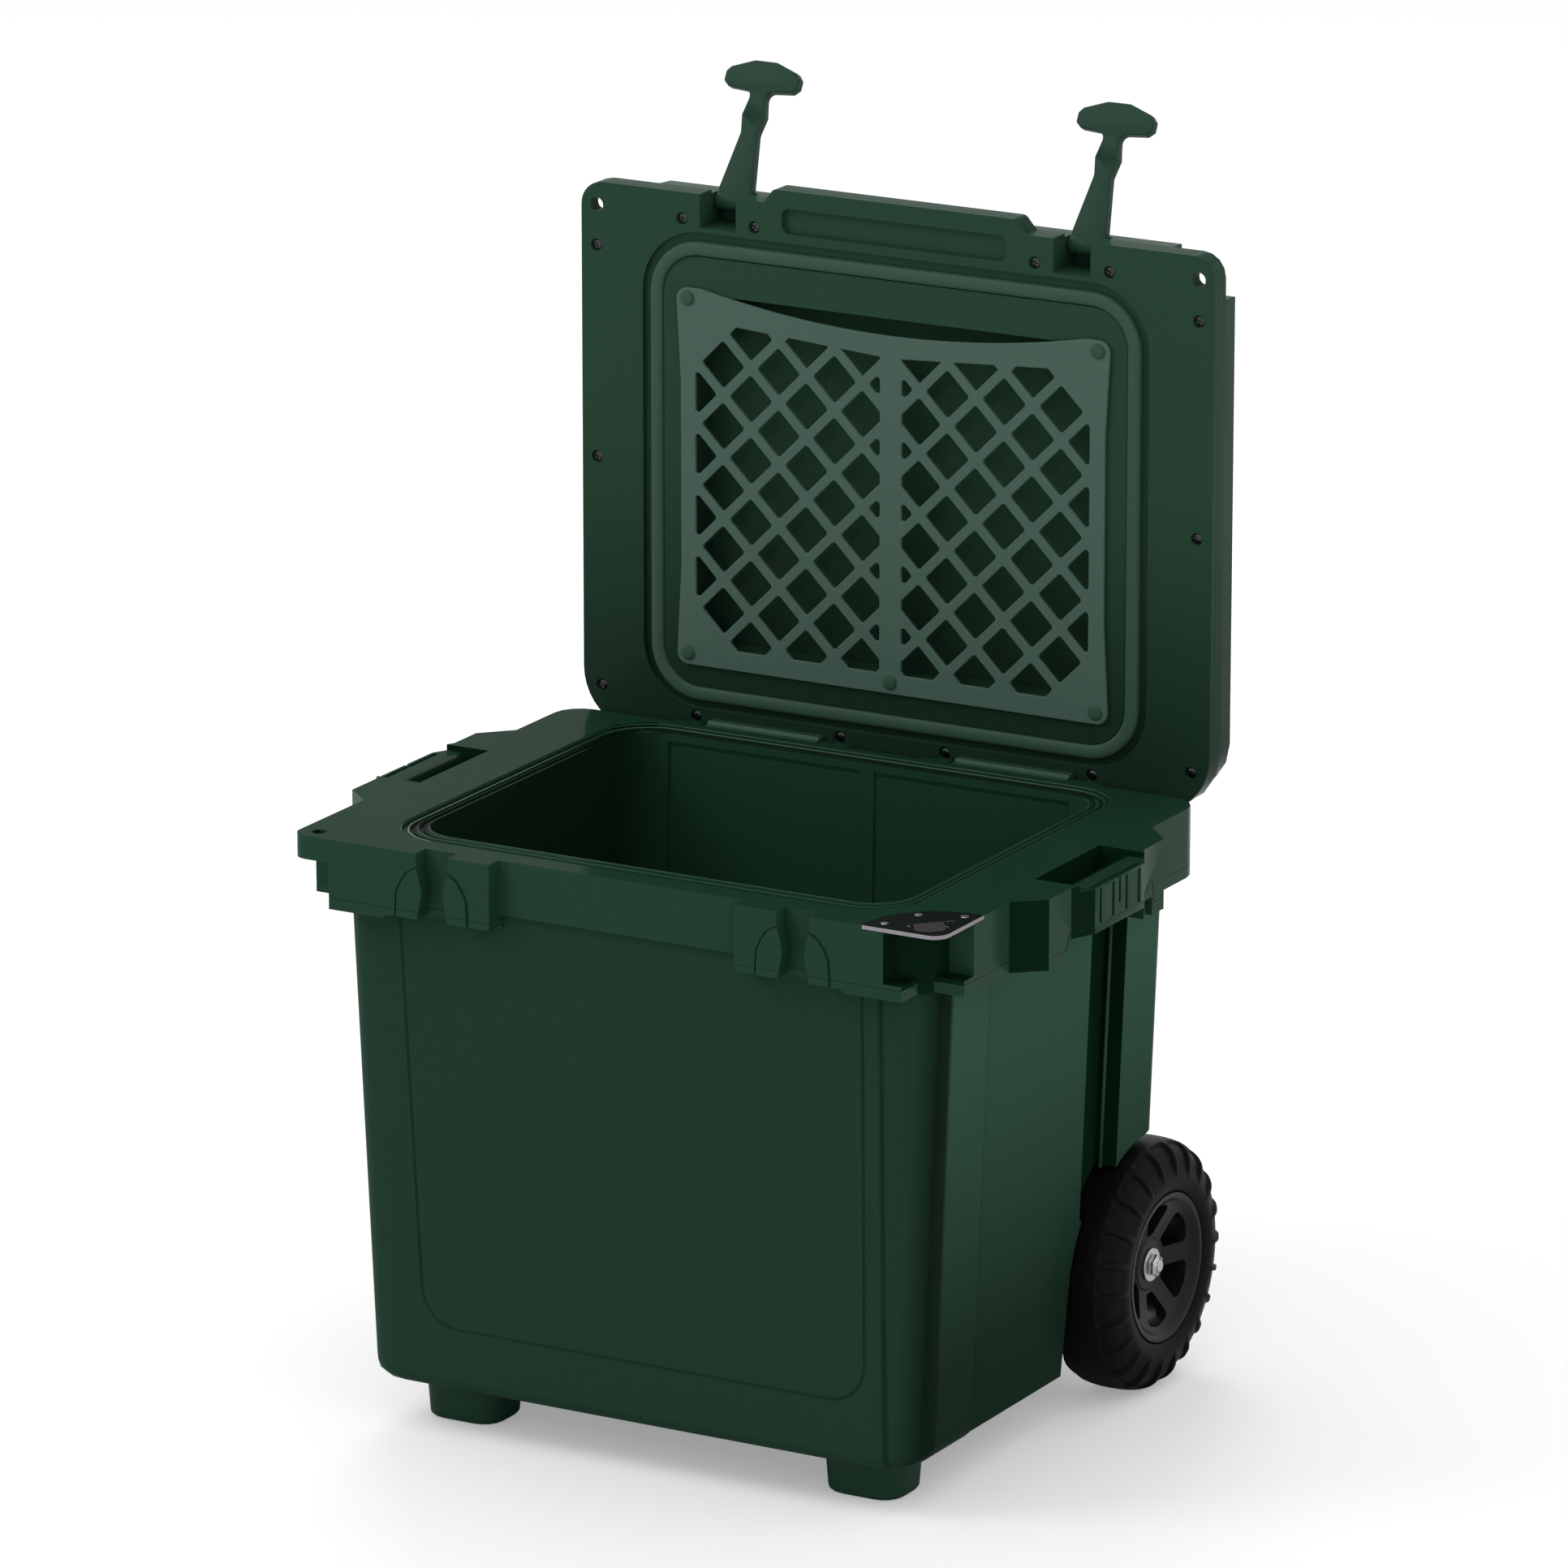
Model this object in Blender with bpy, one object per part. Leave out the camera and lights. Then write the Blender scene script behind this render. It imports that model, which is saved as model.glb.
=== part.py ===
"""A wheeled hard cooler with its lid standing open, built piece by piece at real size.

Lengths are in metres. Every piece is first drawn with the lid shut and the latches hanging
down. Pivots on the joint lines then turn the lid and the latches to the pose they rest in,
and one parent brings the middle of the whole footprint to the origin.
"""

import bpy
import bmesh
from math import atan2, cos, pi, radians, sin
from mathutils import Matrix, Vector

GAP = 0.0003  # free space between pieces that rest on each other
OVERRUN = 0.01  # how far a cutter runs past the wall that it cuts
OVERLAP = 0.001  # how far joined shapes run into each other
SEAM_SLACK = 0.000001  # points nearer than this are one
DIAGONAL_SHARE = 2 ** 0.5  # a square's diagonal over its side

# Tub
DECK_Z = 0.447
DECK_THICK = 0.005
BODY_FLOOR_Z = 0.036
FLANGE_THICK = 0.003
FLANGE_STEP_Z = DECK_Z - DECK_THICK - GAP
FLANGE_LOW_Z = FLANGE_STEP_Z - FLANGE_THICK
BODY_TOP_Z = FLANGE_LOW_Z - GAP
BODY_TOP_HALF = 0.2425
BODY_FRONT_Y = -0.171
BODY_REAR_Y = 0.2005
BODY_SIDE_DRAFT = 0.016  # how much each side draws in from top to floor
BODY_FRONT_DRAFT = 0.006
BODY_FRONT_R = 0.034
BODY_REAR_R = 0.014
BODY_EDGE_R = 0.012
BODY_WALL = 0.004

# Liner
LINER_WALL = 0.003
LEDGE_DROP = 0.003
LINER_TOP_Z = DECK_Z - LEDGE_DROP
MOUTH_SIDE_MARGIN = 0.0465  # from the tub's side to its mouth
MOUTH_FRONT_MARGIN = 0.038
MOUTH_REAR_MARGIN = 0.0165
MOUTH_HALF = BODY_TOP_HALF - MOUTH_SIDE_MARGIN
MOUTH_FRONT_Y = BODY_FRONT_Y + MOUTH_FRONT_MARGIN
MOUTH_REAR_Y = BODY_REAR_Y - MOUTH_REAR_MARGIN
MOUTH_R = 0.032
FLOOR_FOAM = 0.056
LINER_FLOOR_Z = BODY_FLOOR_Z + FLOOR_FOAM
LINER_DRAFT = 0.007
LINER_EDGE_R = 0.014
LEDGE_SIDE_WIDTH = 0.012
LEDGE_FRONT_WIDTH = 0.019
LEDGE_REAR_WIDTH = 0.0112
LEDGE_HALF = MOUTH_HALF + LEDGE_SIDE_WIDTH
LEDGE_FRONT_Y = MOUTH_FRONT_Y - LEDGE_FRONT_WIDTH
LEDGE_REAR_Y = MOUTH_REAR_Y + LEDGE_REAR_WIDTH
LEDGE_R = 0.040
FLANGE_REACH = 0.004
WELL_FOAM = 0.020  # insulation between a wheel well and the liner

# Collar
COLLAR_HEIGHT = 0.052
TRIM_HEIGHT = 0.0085
COLLAR_FRONT_REACH = 0.018
COLLAR_REAR_REACH = 0.004
COLLAR_FRONT_Y = BODY_FRONT_Y - COLLAR_FRONT_REACH
COLLAR_REAR_Y = BODY_REAR_Y + COLLAR_REAR_REACH
COLLAR_BOTTOM_Z = DECK_Z - COLLAR_HEIGHT
COLLAR_SEAM_Z = COLLAR_BOTTOM_Z + TRIM_HEIGHT
COLLAR_WALL = 0.0035
STRIP_REACH = 0.0045
STRIP_FRONT_Y = BODY_FRONT_Y - STRIP_REACH
LUG_REACH = 0.0225  # how far the corners stand out from the tub's sides
LUG_HALF = BODY_TOP_HALF + LUG_REACH
LUG_FRONT_R = 0.012
LUG_REAR_R = 0.022
LUG_LENGTH = 0.100
LUG_FRONT_END_Y = COLLAR_FRONT_Y + LUG_LENGTH
HANDLE_REACH = 0.0215
HANDLE_HALF = LUG_HALF + HANDLE_REACH
HANDLE_FRONT_SLOPE = 0.019
HANDLE_FRONT_LENGTH = 0.033
HANDLE_REAR_SLOPE = 0.022
HANDLE_REAR_LENGTH = 0.031
GRIP_REACH = 0.009
GRIP_FRONT_SLOPE = 0.019
GRIP_REAR_SLOPE = 0.017
GRIP_LENGTH = 0.075
GRIP_HALF = HANDLE_HALF + GRIP_REACH
HANDLE_FRONT_Y = LUG_FRONT_END_Y + HANDLE_FRONT_SLOPE
GRIP_FLARE_FRONT_Y = HANDLE_FRONT_Y + HANDLE_FRONT_LENGTH
GRIP_FRONT_Y = GRIP_FLARE_FRONT_Y + GRIP_FRONT_SLOPE
GRIP_REAR_Y = GRIP_FRONT_Y + GRIP_LENGTH
GRIP_FLARE_REAR_Y = GRIP_REAR_Y + GRIP_REAR_SLOPE
HANDLE_REAR_Y = GRIP_FLARE_REAR_Y + HANDLE_REAR_LENGTH
LUG_REAR_END_Y = HANDLE_REAR_Y + HANDLE_REAR_SLOPE
GRIP_DROP = 0.0045
GRIP_HEIGHT = 0.0375
GRIP_BOTTOM_Z = DECK_Z - GRIP_HEIGHT
SLOT_WALL = 0.011  # collar left between the tub's side and a finger slot
SLOT_FRONT_WALL = 0.007
SLOT_REAR_WALL = 0.006
BAR_THICK = 0.0165
SLOT_INNER_X = BODY_TOP_HALF + SLOT_WALL
SLOT_OUTER_X = HANDLE_HALF - BAR_THICK
SLOT_FRONT_Y = GRIP_FLARE_FRONT_Y + SLOT_FRONT_WALL
SLOT_REAR_Y = GRIP_FLARE_REAR_Y - SLOT_REAR_WALL
PAD_WALL = 0.0025
PAD_GROOVE = 0.0025
PAD_GROOVE_DEPTH = 0.006
PAD_COUNT = 6
PAD_SLIT_DEPTH = 0.002
PAD_SLIT_HALF = 0.0012
PAD_LOW_SET = 0.0065
PAD_LOW_Z = GRIP_BOTTOM_Z + PAD_LOW_SET
PAD_TOP_DROP = 0.008

# Keepers, beside the latches
LATCH_X = 0.1467
KEEPER_WIDTH = 0.0467
KEEPER_INNER_ROOM = 0.0127
KEEPER_OUTER_ROOM = 0.0138
KEEPER_INNER_X = LATCH_X - KEEPER_WIDTH
KEEPER_GAP_INNER_X = LATCH_X - KEEPER_INNER_ROOM
KEEPER_GAP_OUTER_X = LATCH_X + KEEPER_OUTER_ROOM
KEEPER_LIP = 0.009
KEEPER_THROAT_DROP = 0.029
KEEPER_THROAT_Z = DECK_Z - KEEPER_THROAT_DROP
KEEPER_THROAT_HALF = 0.0086

# Front corners
LUG_PLATE_THICK = 0.0175
LUG_POCKET_WIDTH = 0.0315
LUG_POCKET_LENGTH = 0.034
LUG_POCKET_X = LUG_HALF - LUG_POCKET_WIDTH
LUG_POCKET_Y = COLLAR_FRONT_Y + LUG_POCKET_LENGTH
LUG_HOLE_SET_X = 0.0155
LUG_HOLE_SET_Y = 0.014
LUG_HOLE_X = LUG_HALF - LUG_HOLE_SET_X
LUG_HOLE_Y = COLLAR_FRONT_Y + LUG_HOLE_SET_Y
LUG_HOLE_R = 0.0055
OPENER_POCKET_WIDTH = 0.046
OPENER_POCKET_LENGTH = 0.048
OPENER_POCKET_FLOOR = 0.003  # collar left under the pocket, above the seam
OPENER_POCKET_X = LUG_HALF - OPENER_POCKET_WIDTH
OPENER_POCKET_Y = COLLAR_FRONT_Y + OPENER_POCKET_LENGTH
OPENER_POCKET_FLOOR_Z = COLLAR_SEAM_Z + OPENER_POCKET_FLOOR
OPENER_THICK = 0.003
OPENER_REACH = 0.063
OPENER_BULGE = 0.0655
OPENER_SLOT_SET = 0.0165
OPENER_SLOT_LENGTH = 0.024
OPENER_SLOT_HALF = 0.005
OPENER_SLOT_ROUND_SHARE = 0.8
OPENER_SCREW_FRONT_IN = 0.0515  # from the corner, inwards and back
OPENER_SCREW_FRONT_BACK = 0.012
OPENER_SCREW_MIDDLE_IN = 0.041
OPENER_SCREW_MIDDLE_BACK = 0.042
OPENER_SCREW_SIDE_IN = 0.0105
OPENER_SCREW_SIDE_BACK = 0.0535
OPENER_SCREW_LENGTH = 0.0012
OPENER_SCREW_HEAD_R = 0.0028
OPENER_SCREW_HEAD = 0.0008
OPENER_SCREW_SINK = 0.0013  # depth of the recess that holds a screw's head

# Lid hinge
HINGE_SET_BACK = 0.0093
HINGE_DROP = 0.0075
HINGE_Y = COLLAR_REAR_Y + HINGE_SET_BACK
HINGE_Z = DECK_Z - HINGE_DROP
HINGE_ROD_R = 0.0025
HINGE_ROD_PLAY = 0.0004
HINGE_BORE_R = HINGE_ROD_R + HINGE_ROD_PLAY
HINGE_WALL = 0.004
EAR_R = HINGE_ROD_R + HINGE_WALL
EAR_DROP = 0.025
EAR_LOW_Z = DECK_Z - EAR_DROP
EAR_LENGTH = 0.024
EAR_GAP = 0.002
ROD_END_WALL = 0.002
BARREL_R = HINGE_ROD_R + HINGE_WALL
BARREL_START_X = 0.0565
BARREL_LENGTH = 0.096
BARREL_END_X = BARREL_START_X + BARREL_LENGTH
BARREL_LEG_HALF = 0.004
LID_OPEN_ANGLE = radians(-90)

# Lid
LID_LOW_Z = DECK_Z + GAP
LID_SIDE_SET = 0.0025  # the lid's edge, in from the collar's corners
LID_FRONT_REACH = 0.0035
LID_REAR_REACH = 0.0102
LID_HALF = LUG_HALF - LID_SIDE_SET
LID_FRONT_Y = COLLAR_FRONT_Y - LID_FRONT_REACH
LID_REAR_Y = HINGE_Y + LID_REAR_REACH
LID_FRONT_R = 0.018
LID_REAR_R = 0.045
LIP_HALF = 0.100
LIP_REACH = 0.0105
LIP_FRONT_Y = LID_FRONT_Y - LIP_REACH
LIP_R = 0.006
LIP_SLOPE = 0.009
PANEL_THICK = 0.006
SHELL_LOW_Z = LID_LOW_Z + PANEL_THICK + GAP
FLANGE_HEIGHT = 0.018
CROWN_HEIGHT = 0.048
CROWN_INSET = 0.005
CROWN_FRONT_INSET = 0.0025
CROWN_FRONT_Y = LID_FRONT_Y + CROWN_FRONT_INSET
CROWN_REAR_INSET = 0.006
CROWN_TAPER = 0.0015
CROWN_EDGE_R = 0.003
CROWN_NOTCH_WIDTH = 0.0485
CROWN_NOTCH_LENGTH = 0.0365
CROWN_NOTCH_X = LID_HALF - CROWN_NOTCH_WIDTH
CROWN_NOTCH_Y = LID_FRONT_Y + CROWN_NOTCH_LENGTH
CROWN_NOTCH_R = 0.010
CROWN_CORNER_R = 0.038
LID_WALL = 0.0035
LID_FOAM_SIDE_MARGIN = 0.0265
LID_FOAM_FRONT_MARGIN = 0.0495
LID_FOAM_REAR_MARGIN = 0.031
LID_FOAM_HALF = LID_HALF - LID_FOAM_SIDE_MARGIN
LID_FOAM_FRONT_Y = LID_FRONT_Y + LID_FOAM_FRONT_MARGIN
LID_FOAM_REAR_Y = LID_REAR_Y - LID_FOAM_REAR_MARGIN
LID_FOAM_R = 0.020
PULL_RECESS_HALF = 0.093
PULL_RECESS_SET = 0.0045
PULL_RECESS_WIDTH = 0.017
PULL_RECESS_FRONT_Y = LID_FRONT_Y + PULL_RECESS_SET
PULL_RECESS_REAR_Y = PULL_RECESS_FRONT_Y + PULL_RECESS_WIDTH
PULL_RECESS_DEPTH = 0.0045
PULL_RECESS_R = 0.006

GASKET_SIDE_REACH = 0.0025  # the gasket's middle, out from the mouth's edge
GASKET_FRONT_REACH = 0.0115
GASKET_REAR_REACH = 0.0035
GASKET_HALF = MOUTH_HALF + GASKET_SIDE_REACH
GASKET_FRONT_Y = MOUTH_FRONT_Y - GASKET_FRONT_REACH
GASKET_REAR_Y = MOUTH_REAR_Y + GASKET_REAR_REACH
GASKET_R = 0.036
GASKET_WIDTH = 0.010
GASKET_PROUD = 0.0022
GASKET_ROUND = 0.002
GASKET_GROOVE_ROOM = 0.0025
GASKET_GROOVE_WIDTH = GASKET_WIDTH + GASKET_GROOVE_ROOM * 2
GASKET_GROOVE_DEPTH = 0.0035

NET_SIDE_MARGIN = 0.0155  # the net's edge, in from the mouth's edge
NET_FRONT_MARGIN = 0.011
NET_REAR_MARGIN = 0.019
NET_HALF = MOUTH_HALF - NET_SIDE_MARGIN
NET_FRONT_Y = MOUTH_FRONT_Y + NET_FRONT_MARGIN
NET_REAR_Y = MOUTH_REAR_Y - NET_REAR_MARGIN
NET_R = 0.010
NET_SAG = 0.017  # how far the front edge dips at its middle
NET_SIDE_DIP = 0.004
NET_ARC_STEPS = 10
NET_THICK = 0.003
NET_PITCH = 0.0468
NET_STRAND = 0.0075
NET_CENTRE_Y = 0.0031
NET_RIB_HALF = 0.009
NET_SIDE_BORDER = 0.0165
NET_FRONT_BORDER = 0.0235
NET_REAR_BORDER = 0.015
NET_WINDOW_INNER_X = NET_RIB_HALF
NET_WINDOW_OUTER_X = NET_HALF - NET_SIDE_BORDER
NET_WINDOW_FRONT_Y = NET_FRONT_Y + NET_FRONT_BORDER
NET_WINDOW_REAR_Y = NET_REAR_Y - NET_REAR_BORDER
NET_WINDOW_CUT = 0.034
NET_WINDOW_SAG = 0.0105
NET_LEAST_SHARE = 0.12
BUTTON_SIDE_SET = 0.010
BUTTON_FRONT_SET = 0.008
BUTTON_REAR_SET = 0.009
BUTTON_X = NET_HALF - BUTTON_SIDE_SET
BUTTON_FRONT_Y = NET_FRONT_Y + BUTTON_FRONT_SET
BUTTON_REAR_Y = NET_REAR_Y - BUTTON_REAR_SET
BUTTON_R = 0.0055
BUTTON_HEIGHT = 0.002
BUTTON_SHANK_R = 0.0022
BUTTON_SHANK_DEPTH = 0.0035

POCKET_SIDE_MARGIN = 0.016  # the net's pocket, in from the net's edge
POCKET_FRONT_MARGIN = 0.005
POCKET_REAR_MARGIN = 0.0135
POCKET_HALF = NET_HALF - POCKET_SIDE_MARGIN
POCKET_FRONT_Y = NET_FRONT_Y + POCKET_FRONT_MARGIN
POCKET_REAR_Y = NET_REAR_Y - POCKET_REAR_MARGIN
POCKET_R = 0.010
POCKET_DEPTH = 0.022
POCKET_TOP_Z = LID_LOW_Z + POCKET_DEPTH
POCKET_WALL = 0.0025

SCREW_STEPS = 8
SCREW_HEAD_R = 0.0036
SCREW_HEAD_HEIGHT = 0.0018
SCREW_SHANK_R = 0.0018
SCREW_SHANK_LENGTH = 0.009
SCREW_RECESS_R = 0.0047
SCREW_RECESS_DEPTH = 0.003
SCREW_SEAT_Z = LID_LOW_Z + SCREW_RECESS_DEPTH
SCREW_BY_LATCH = 0.0305
SCREW_FRONT_SET = 0.020
SCREW_SIDE_SET = 0.0125
SCREW_SIDE_FRONT_SET = 0.048
SCREW_SIDE_MIDDLE_Y = 0.0165
SCREW_CORNER_SET_X = 0.0155
SCREW_CORNER_SET_Y = 0.032
SCREW_REAR_SET = 0.019
SCREW_REAR_OUTER_X = 0.166
SCREW_REAR_INNER_X = 0.044

# Latch
PIN_SET_BACK = 0.009
PIN_HEIGHT = 0.0252
PIN_Y = LID_FRONT_Y + PIN_SET_BACK
PIN_Z = LID_LOW_Z + PIN_HEIGHT
PIN_R = 0.0024
PIN_PLAY = 0.0004
PIN_BORE_R = PIN_R + PIN_PLAY
PIN_REACH = 0.006
LATCH_SIDE_ROOM = 0.0014
LATCH_REAR_ROOM = 0.0165
LATCH_TOP_ROOM = 0.0103
LATCH_SLOT_REAR_Y = PIN_Y + LATCH_REAR_ROOM
LATCH_SLOT_TOP_Z = PIN_Z + LATCH_TOP_ROOM
LATCH_THICK = 0.0085
LATCH_BARREL_R = 0.0065
LATCH_BASE_HALF = 0.0138
LATCH_SLOT_HALF = LATCH_BASE_HALF + LATCH_SIDE_ROOM
LATCH_WAIST_HALF = 0.0069
LATCH_BULGE_HALF = 0.0094
LATCH_NECK_HALF = 0.0067
LATCH_HEAD_HALF = 0.031
LATCH_HEAD_CORNER = 0.003
LATCH_CREST_HALF = 0.009
LATCH_BASE_S = 0.008  # distances down from the pin
LATCH_ARM_LENGTH = 0.045
LATCH_SWELL_LENGTH = 0.0095
LATCH_BULGE_LENGTH = 0.006
LATCH_SHRINK_LENGTH = 0.0095
LATCH_NECK_LENGTH = 0.0055
LATCH_SHOULDER = 0.004
LATCH_HEAD_LENGTH = 0.015
LATCH_CREST = 0.005
LATCH_WAIST_S = LATCH_BASE_S + LATCH_ARM_LENGTH
LATCH_BULGE_S = LATCH_WAIST_S + LATCH_SWELL_LENGTH
LATCH_NECK_S = LATCH_BULGE_S + LATCH_BULGE_LENGTH + LATCH_SHRINK_LENGTH
LATCH_HEAD_S = LATCH_NECK_S + LATCH_NECK_LENGTH
LATCH_HEAD_END_S = LATCH_HEAD_S + LATCH_SHOULDER
LATCH_TIP_END_S = LATCH_HEAD_END_S + LATCH_HEAD_LENGTH
LATCH_TIP_S = LATCH_TIP_END_S + LATCH_CREST
LATCH_REST_ANGLE = radians(-118)

# Wheels
AXLE_SET_IN = 0.0115
AXLE_Y = BODY_REAR_Y - AXLE_SET_IN
TYRE_R = 0.094
WELL_DEPTH = 0.0625  # from the tub's side at the top to the well's inner wall
WELL_INNER_X = BODY_TOP_HALF - WELL_DEPTH
WELL_FRONT_ROOM = 0.015
WELL_FRONT_Y = AXLE_Y - TYRE_R - WELL_FRONT_ROOM
WELL_CLEARANCE = 0.008
WELL_STEPS = 8
TYRE_INNER_ROOM = 0.010
TYRE_WIDTH = 0.062
TYRE_INNER_X = WELL_INNER_X + TYRE_INNER_ROOM
TYRE_OUTER_X = TYRE_INNER_X + TYRE_WIDTH
TYRE_LUGS = 22
TYRE_LUG_DEPTH = 0.0045
TYRE_SHOULDER = 0.012
TYRE_SHOULDER_SET = 0.002
TYRE_WALL_RISE = 0.010
TYRE_BEAD_SET = 0.004
TYRE_LUG_SHARES = [(0.02, 0), (0.62, 0), (0.68, 1), (0.96, 1)]  # round one lug: place, gap or not
TYRE_HEIGHT = 0.0373  # tread to rim
RIM_R = TYRE_R - TYRE_HEIGHT
RIM_WALL = 0.006
WEB_THICK = 0.008
WEB_RECESS = 0.015  # from the rim's end in to the web at the boss
DISH_RISE = 0.0095  # the web's slope, from boss to rim
DISH_SET = 0.0047  # the slope's end, in from the rim's inner side
HUB_STEPS = 24
HUB_R = 0.018
HUB_INNER_ROOM = 0.0055
HUB_OUTER_SET = 0.0175
HUB_INNER_X = WELL_INNER_X + HUB_INNER_ROOM
HUB_OUTER_X = TYRE_OUTER_X - HUB_OUTER_SET
SPOKES = 6
WINDOW_INNER_WALL = 0.006
WINDOW_OUTER_WALL = 0.0057
WINDOW_INNER_R = HUB_R + WINDOW_INNER_WALL
WINDOW_OUTER_R = RIM_R - RIM_WALL - WINDOW_OUTER_WALL
WINDOW_INNER_SHARE = 0.40
WINDOW_OUTER_SHARE = 0.66
AXLE_R = 0.006
AXLE_FLANGE_R = 0.022
AXLE_FLANGE_THICK = 0.0045
AXLE_ROOT = 0.012
AXLE_ROOT_R = 0.010
AXLE_PROUD = 0.0090
AXLE_END_X = HUB_OUTER_X + AXLE_PROUD
WASHER_PLAY = 0.0005
WASHER_R = 0.0125
WASHER_THICK = 0.002
NUT_R = 0.0085
NUT_THICK = 0.0045
NUT_SIDES = 6

# Tub sides, sunk between the corner columns
SIDE_RECESS = 0.008
FRONT_COLUMN_LENGTH = 0.103
REAR_COLUMN_LENGTH = 0.0615
CHANNEL_DEPTH = 0.009
CHANNEL_LENGTH = 0.039
CHANNEL_RISE = 0.056  # above the tyre's middle
SIDE_RECESS_FRONT_Y = BODY_FRONT_Y + FRONT_COLUMN_LENGTH
SIDE_RECESS_REAR_Y = BODY_REAR_Y - REAR_COLUMN_LENGTH
CHANNEL_FRONT_Y = SIDE_RECESS_REAR_Y - CHANNEL_LENGTH
CHANNEL_LOW_Z = TYRE_R + CHANNEL_RISE

# Feet
FOOT_SIDE_SET = 0.0765
FOOT_FRONT_SET = 0.067
FOOT_X = BODY_TOP_HALF - FOOT_SIDE_SET
FOOT_Y = BODY_FRONT_Y + FOOT_FRONT_SET
FOOT_HALF_X = 0.033
FOOT_HALF_Y = 0.028
FOOT_R = 0.020
FOOT_SPREAD = 0.0025
FOOT_SOLE_INSET = 0.0025

# Drain
DRAIN_Y = -0.030
DRAIN_RISE = 0.036  # above the liner's floor
DRAIN_Z = LINER_FLOOR_Z + DRAIN_RISE
DRAIN_BORE_R = 0.0095
DRAIN_WALL = 0.003
DRAIN_TUBE_R = DRAIN_BORE_R + DRAIN_WALL
DRAIN_FLANGE_WIDTH = 0.0065
DRAIN_FLANGE_R = DRAIN_TUBE_R + DRAIN_FLANGE_WIDTH
DRAIN_FLANGE_THICK = 0.003
DRAIN_SEAT_ROOM = 0.002
DRAIN_SEAT_SET = 0.022
DRAIN_SEAT_X = DRAIN_SEAT_SET - BODY_TOP_HALF
DRAIN_TUBE_SET = 0.006
DRAIN_TUBE_END_X = DRAIN_TUBE_SET - MOUTH_HALF
PLUG_CAP_R = 0.0165
PLUG_CAP_THICK = 0.008
PLUG_EDGE = 0.002
PLUG_GRIP_HALF = 0.0035
PLUG_GRIP_PROUD = 0.005
PLUG_GRIP_SET = 0.003
PLUG_PLAY = 0.0005
PLUG_STEM_R = DRAIN_BORE_R - PLUG_PLAY
PLUG_STEM_LENGTH = 0.022

# Pull handle, behind the open lid
TUBE_X = 0.070
TUBE_CLEARANCE = 0.0149  # from the open lid's top face to the tubes' middle
TUBE_Y = HINGE_Y + LID_LOW_Z + CROWN_HEIGHT - HINGE_Z + TUBE_CLEARANCE
HOUSING_SIDE_ROOM = 0.030
HOUSING_REAR_ROOM = 0.014
HOUSING_RISE = 0.036
HOUSING_DROP = 0.0715
HOUSING_HALF = TUBE_X + HOUSING_SIDE_ROOM
HOUSING_REAR_Y = TUBE_Y + HOUSING_REAR_ROOM
HOUSING_LOW_Z = BODY_FLOOR_Z + HOUSING_RISE
HOUSING_TOP_Z = DECK_Z - HOUSING_DROP
HOUSING_WALL = 0.003
HOUSING_R = 0.014
MIDDLE_R = 0.0105
MIDDLE_WALL = 0.0012
MIDDLE_FOOT_ROOM = 0.004
MIDDLE_PROUD = 0.0085
MIDDLE_LOW_Z = HOUSING_LOW_Z + HOUSING_WALL + MIDDLE_FOOT_ROOM
MIDDLE_TOP_Z = HOUSING_TOP_Z + MIDDLE_PROUD
GRIP_TUBE_R = MIDDLE_R - MIDDLE_WALL - GAP
GRIP_TUBE_WALL = 0.0012
GRIP_TUBE_FOOT_ROOM = 0.004
GRIP_TUBE_LOW_Z = MIDDLE_LOW_Z + GRIP_TUBE_FOOT_ROOM
PULL_GRIP_ROOM = 0.0055
PULL_GRIP_HEIGHT = 0.028
PULL_GRIP_LOW_Z = MIDDLE_TOP_Z + PULL_GRIP_ROOM
PULL_GRIP_TOP_Z = PULL_GRIP_LOW_Z + PULL_GRIP_HEIGHT
GRIP_TUBE_SEAT = 0.0145
GRIP_TUBE_TOP_Z = PULL_GRIP_LOW_Z + GRIP_TUBE_SEAT
PULL_GRIP_SIDE_ROOM = 0.018
PULL_GRIP_HALF = TUBE_X + PULL_GRIP_SIDE_ROOM
PULL_GRIP_WALL = 0.0035
PULL_GRIP_HALF_DEPTH = GRIP_TUBE_R + PULL_GRIP_WALL
PULL_GRIP_R = 0.010
PULL_GRIP_EDGE = 0.003
RELEASE_HALF = 0.020
RELEASE_HALF_DEPTH = 0.0055
RELEASE_R = 0.003
RELEASE_PROUD = 0.004
RELEASE_DEPTH = 0.010
RELEASE_TRAVEL = 0.003

CORNER_STEPS = 4
ROUND_STEPS = 16

# Looks
GREEN = (0.018, 0.042, 0.027)
GREEN_DARK = (0.014, 0.036, 0.022)
NET_GREEN = (0.055, 0.105, 0.075)
FOAM_CREAM = (0.72, 0.66, 0.50)
PLATE_BLACK = (0.02, 0.02, 0.02)
STEEL = (0.62, 0.62, 0.60)
SCREW_GREY = (0.09, 0.09, 0.09)
RUBBER_BLACK = (0.012, 0.012, 0.013)
GLOSS_ROUGH = 0.35
FOOT_ROUGH = 0.6
RUBBER_ROUGH = 0.65
HUB_ROUGH = 0.45
STEEL_ROUGH = 0.3
FOAM_ROUGH = 0.8
SHARP_DEGREES = 35


# Helpers

def clear_scene():
    for old in list(bpy.data.objects):
        bpy.data.objects.remove(old)


def mesh_object(name, points, faces):
    mesh = bpy.data.meshes.new(name)
    mesh.from_pydata(points, [], faces)
    tidy = bmesh.new()
    tidy.from_mesh(mesh)
    bmesh.ops.recalc_face_normals(tidy, faces=tidy.faces)
    tidy.to_mesh(mesh)
    tidy.free()
    made = bpy.data.objects.new(name, mesh)
    bpy.context.scene.collection.objects.link(made)
    return made


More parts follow.
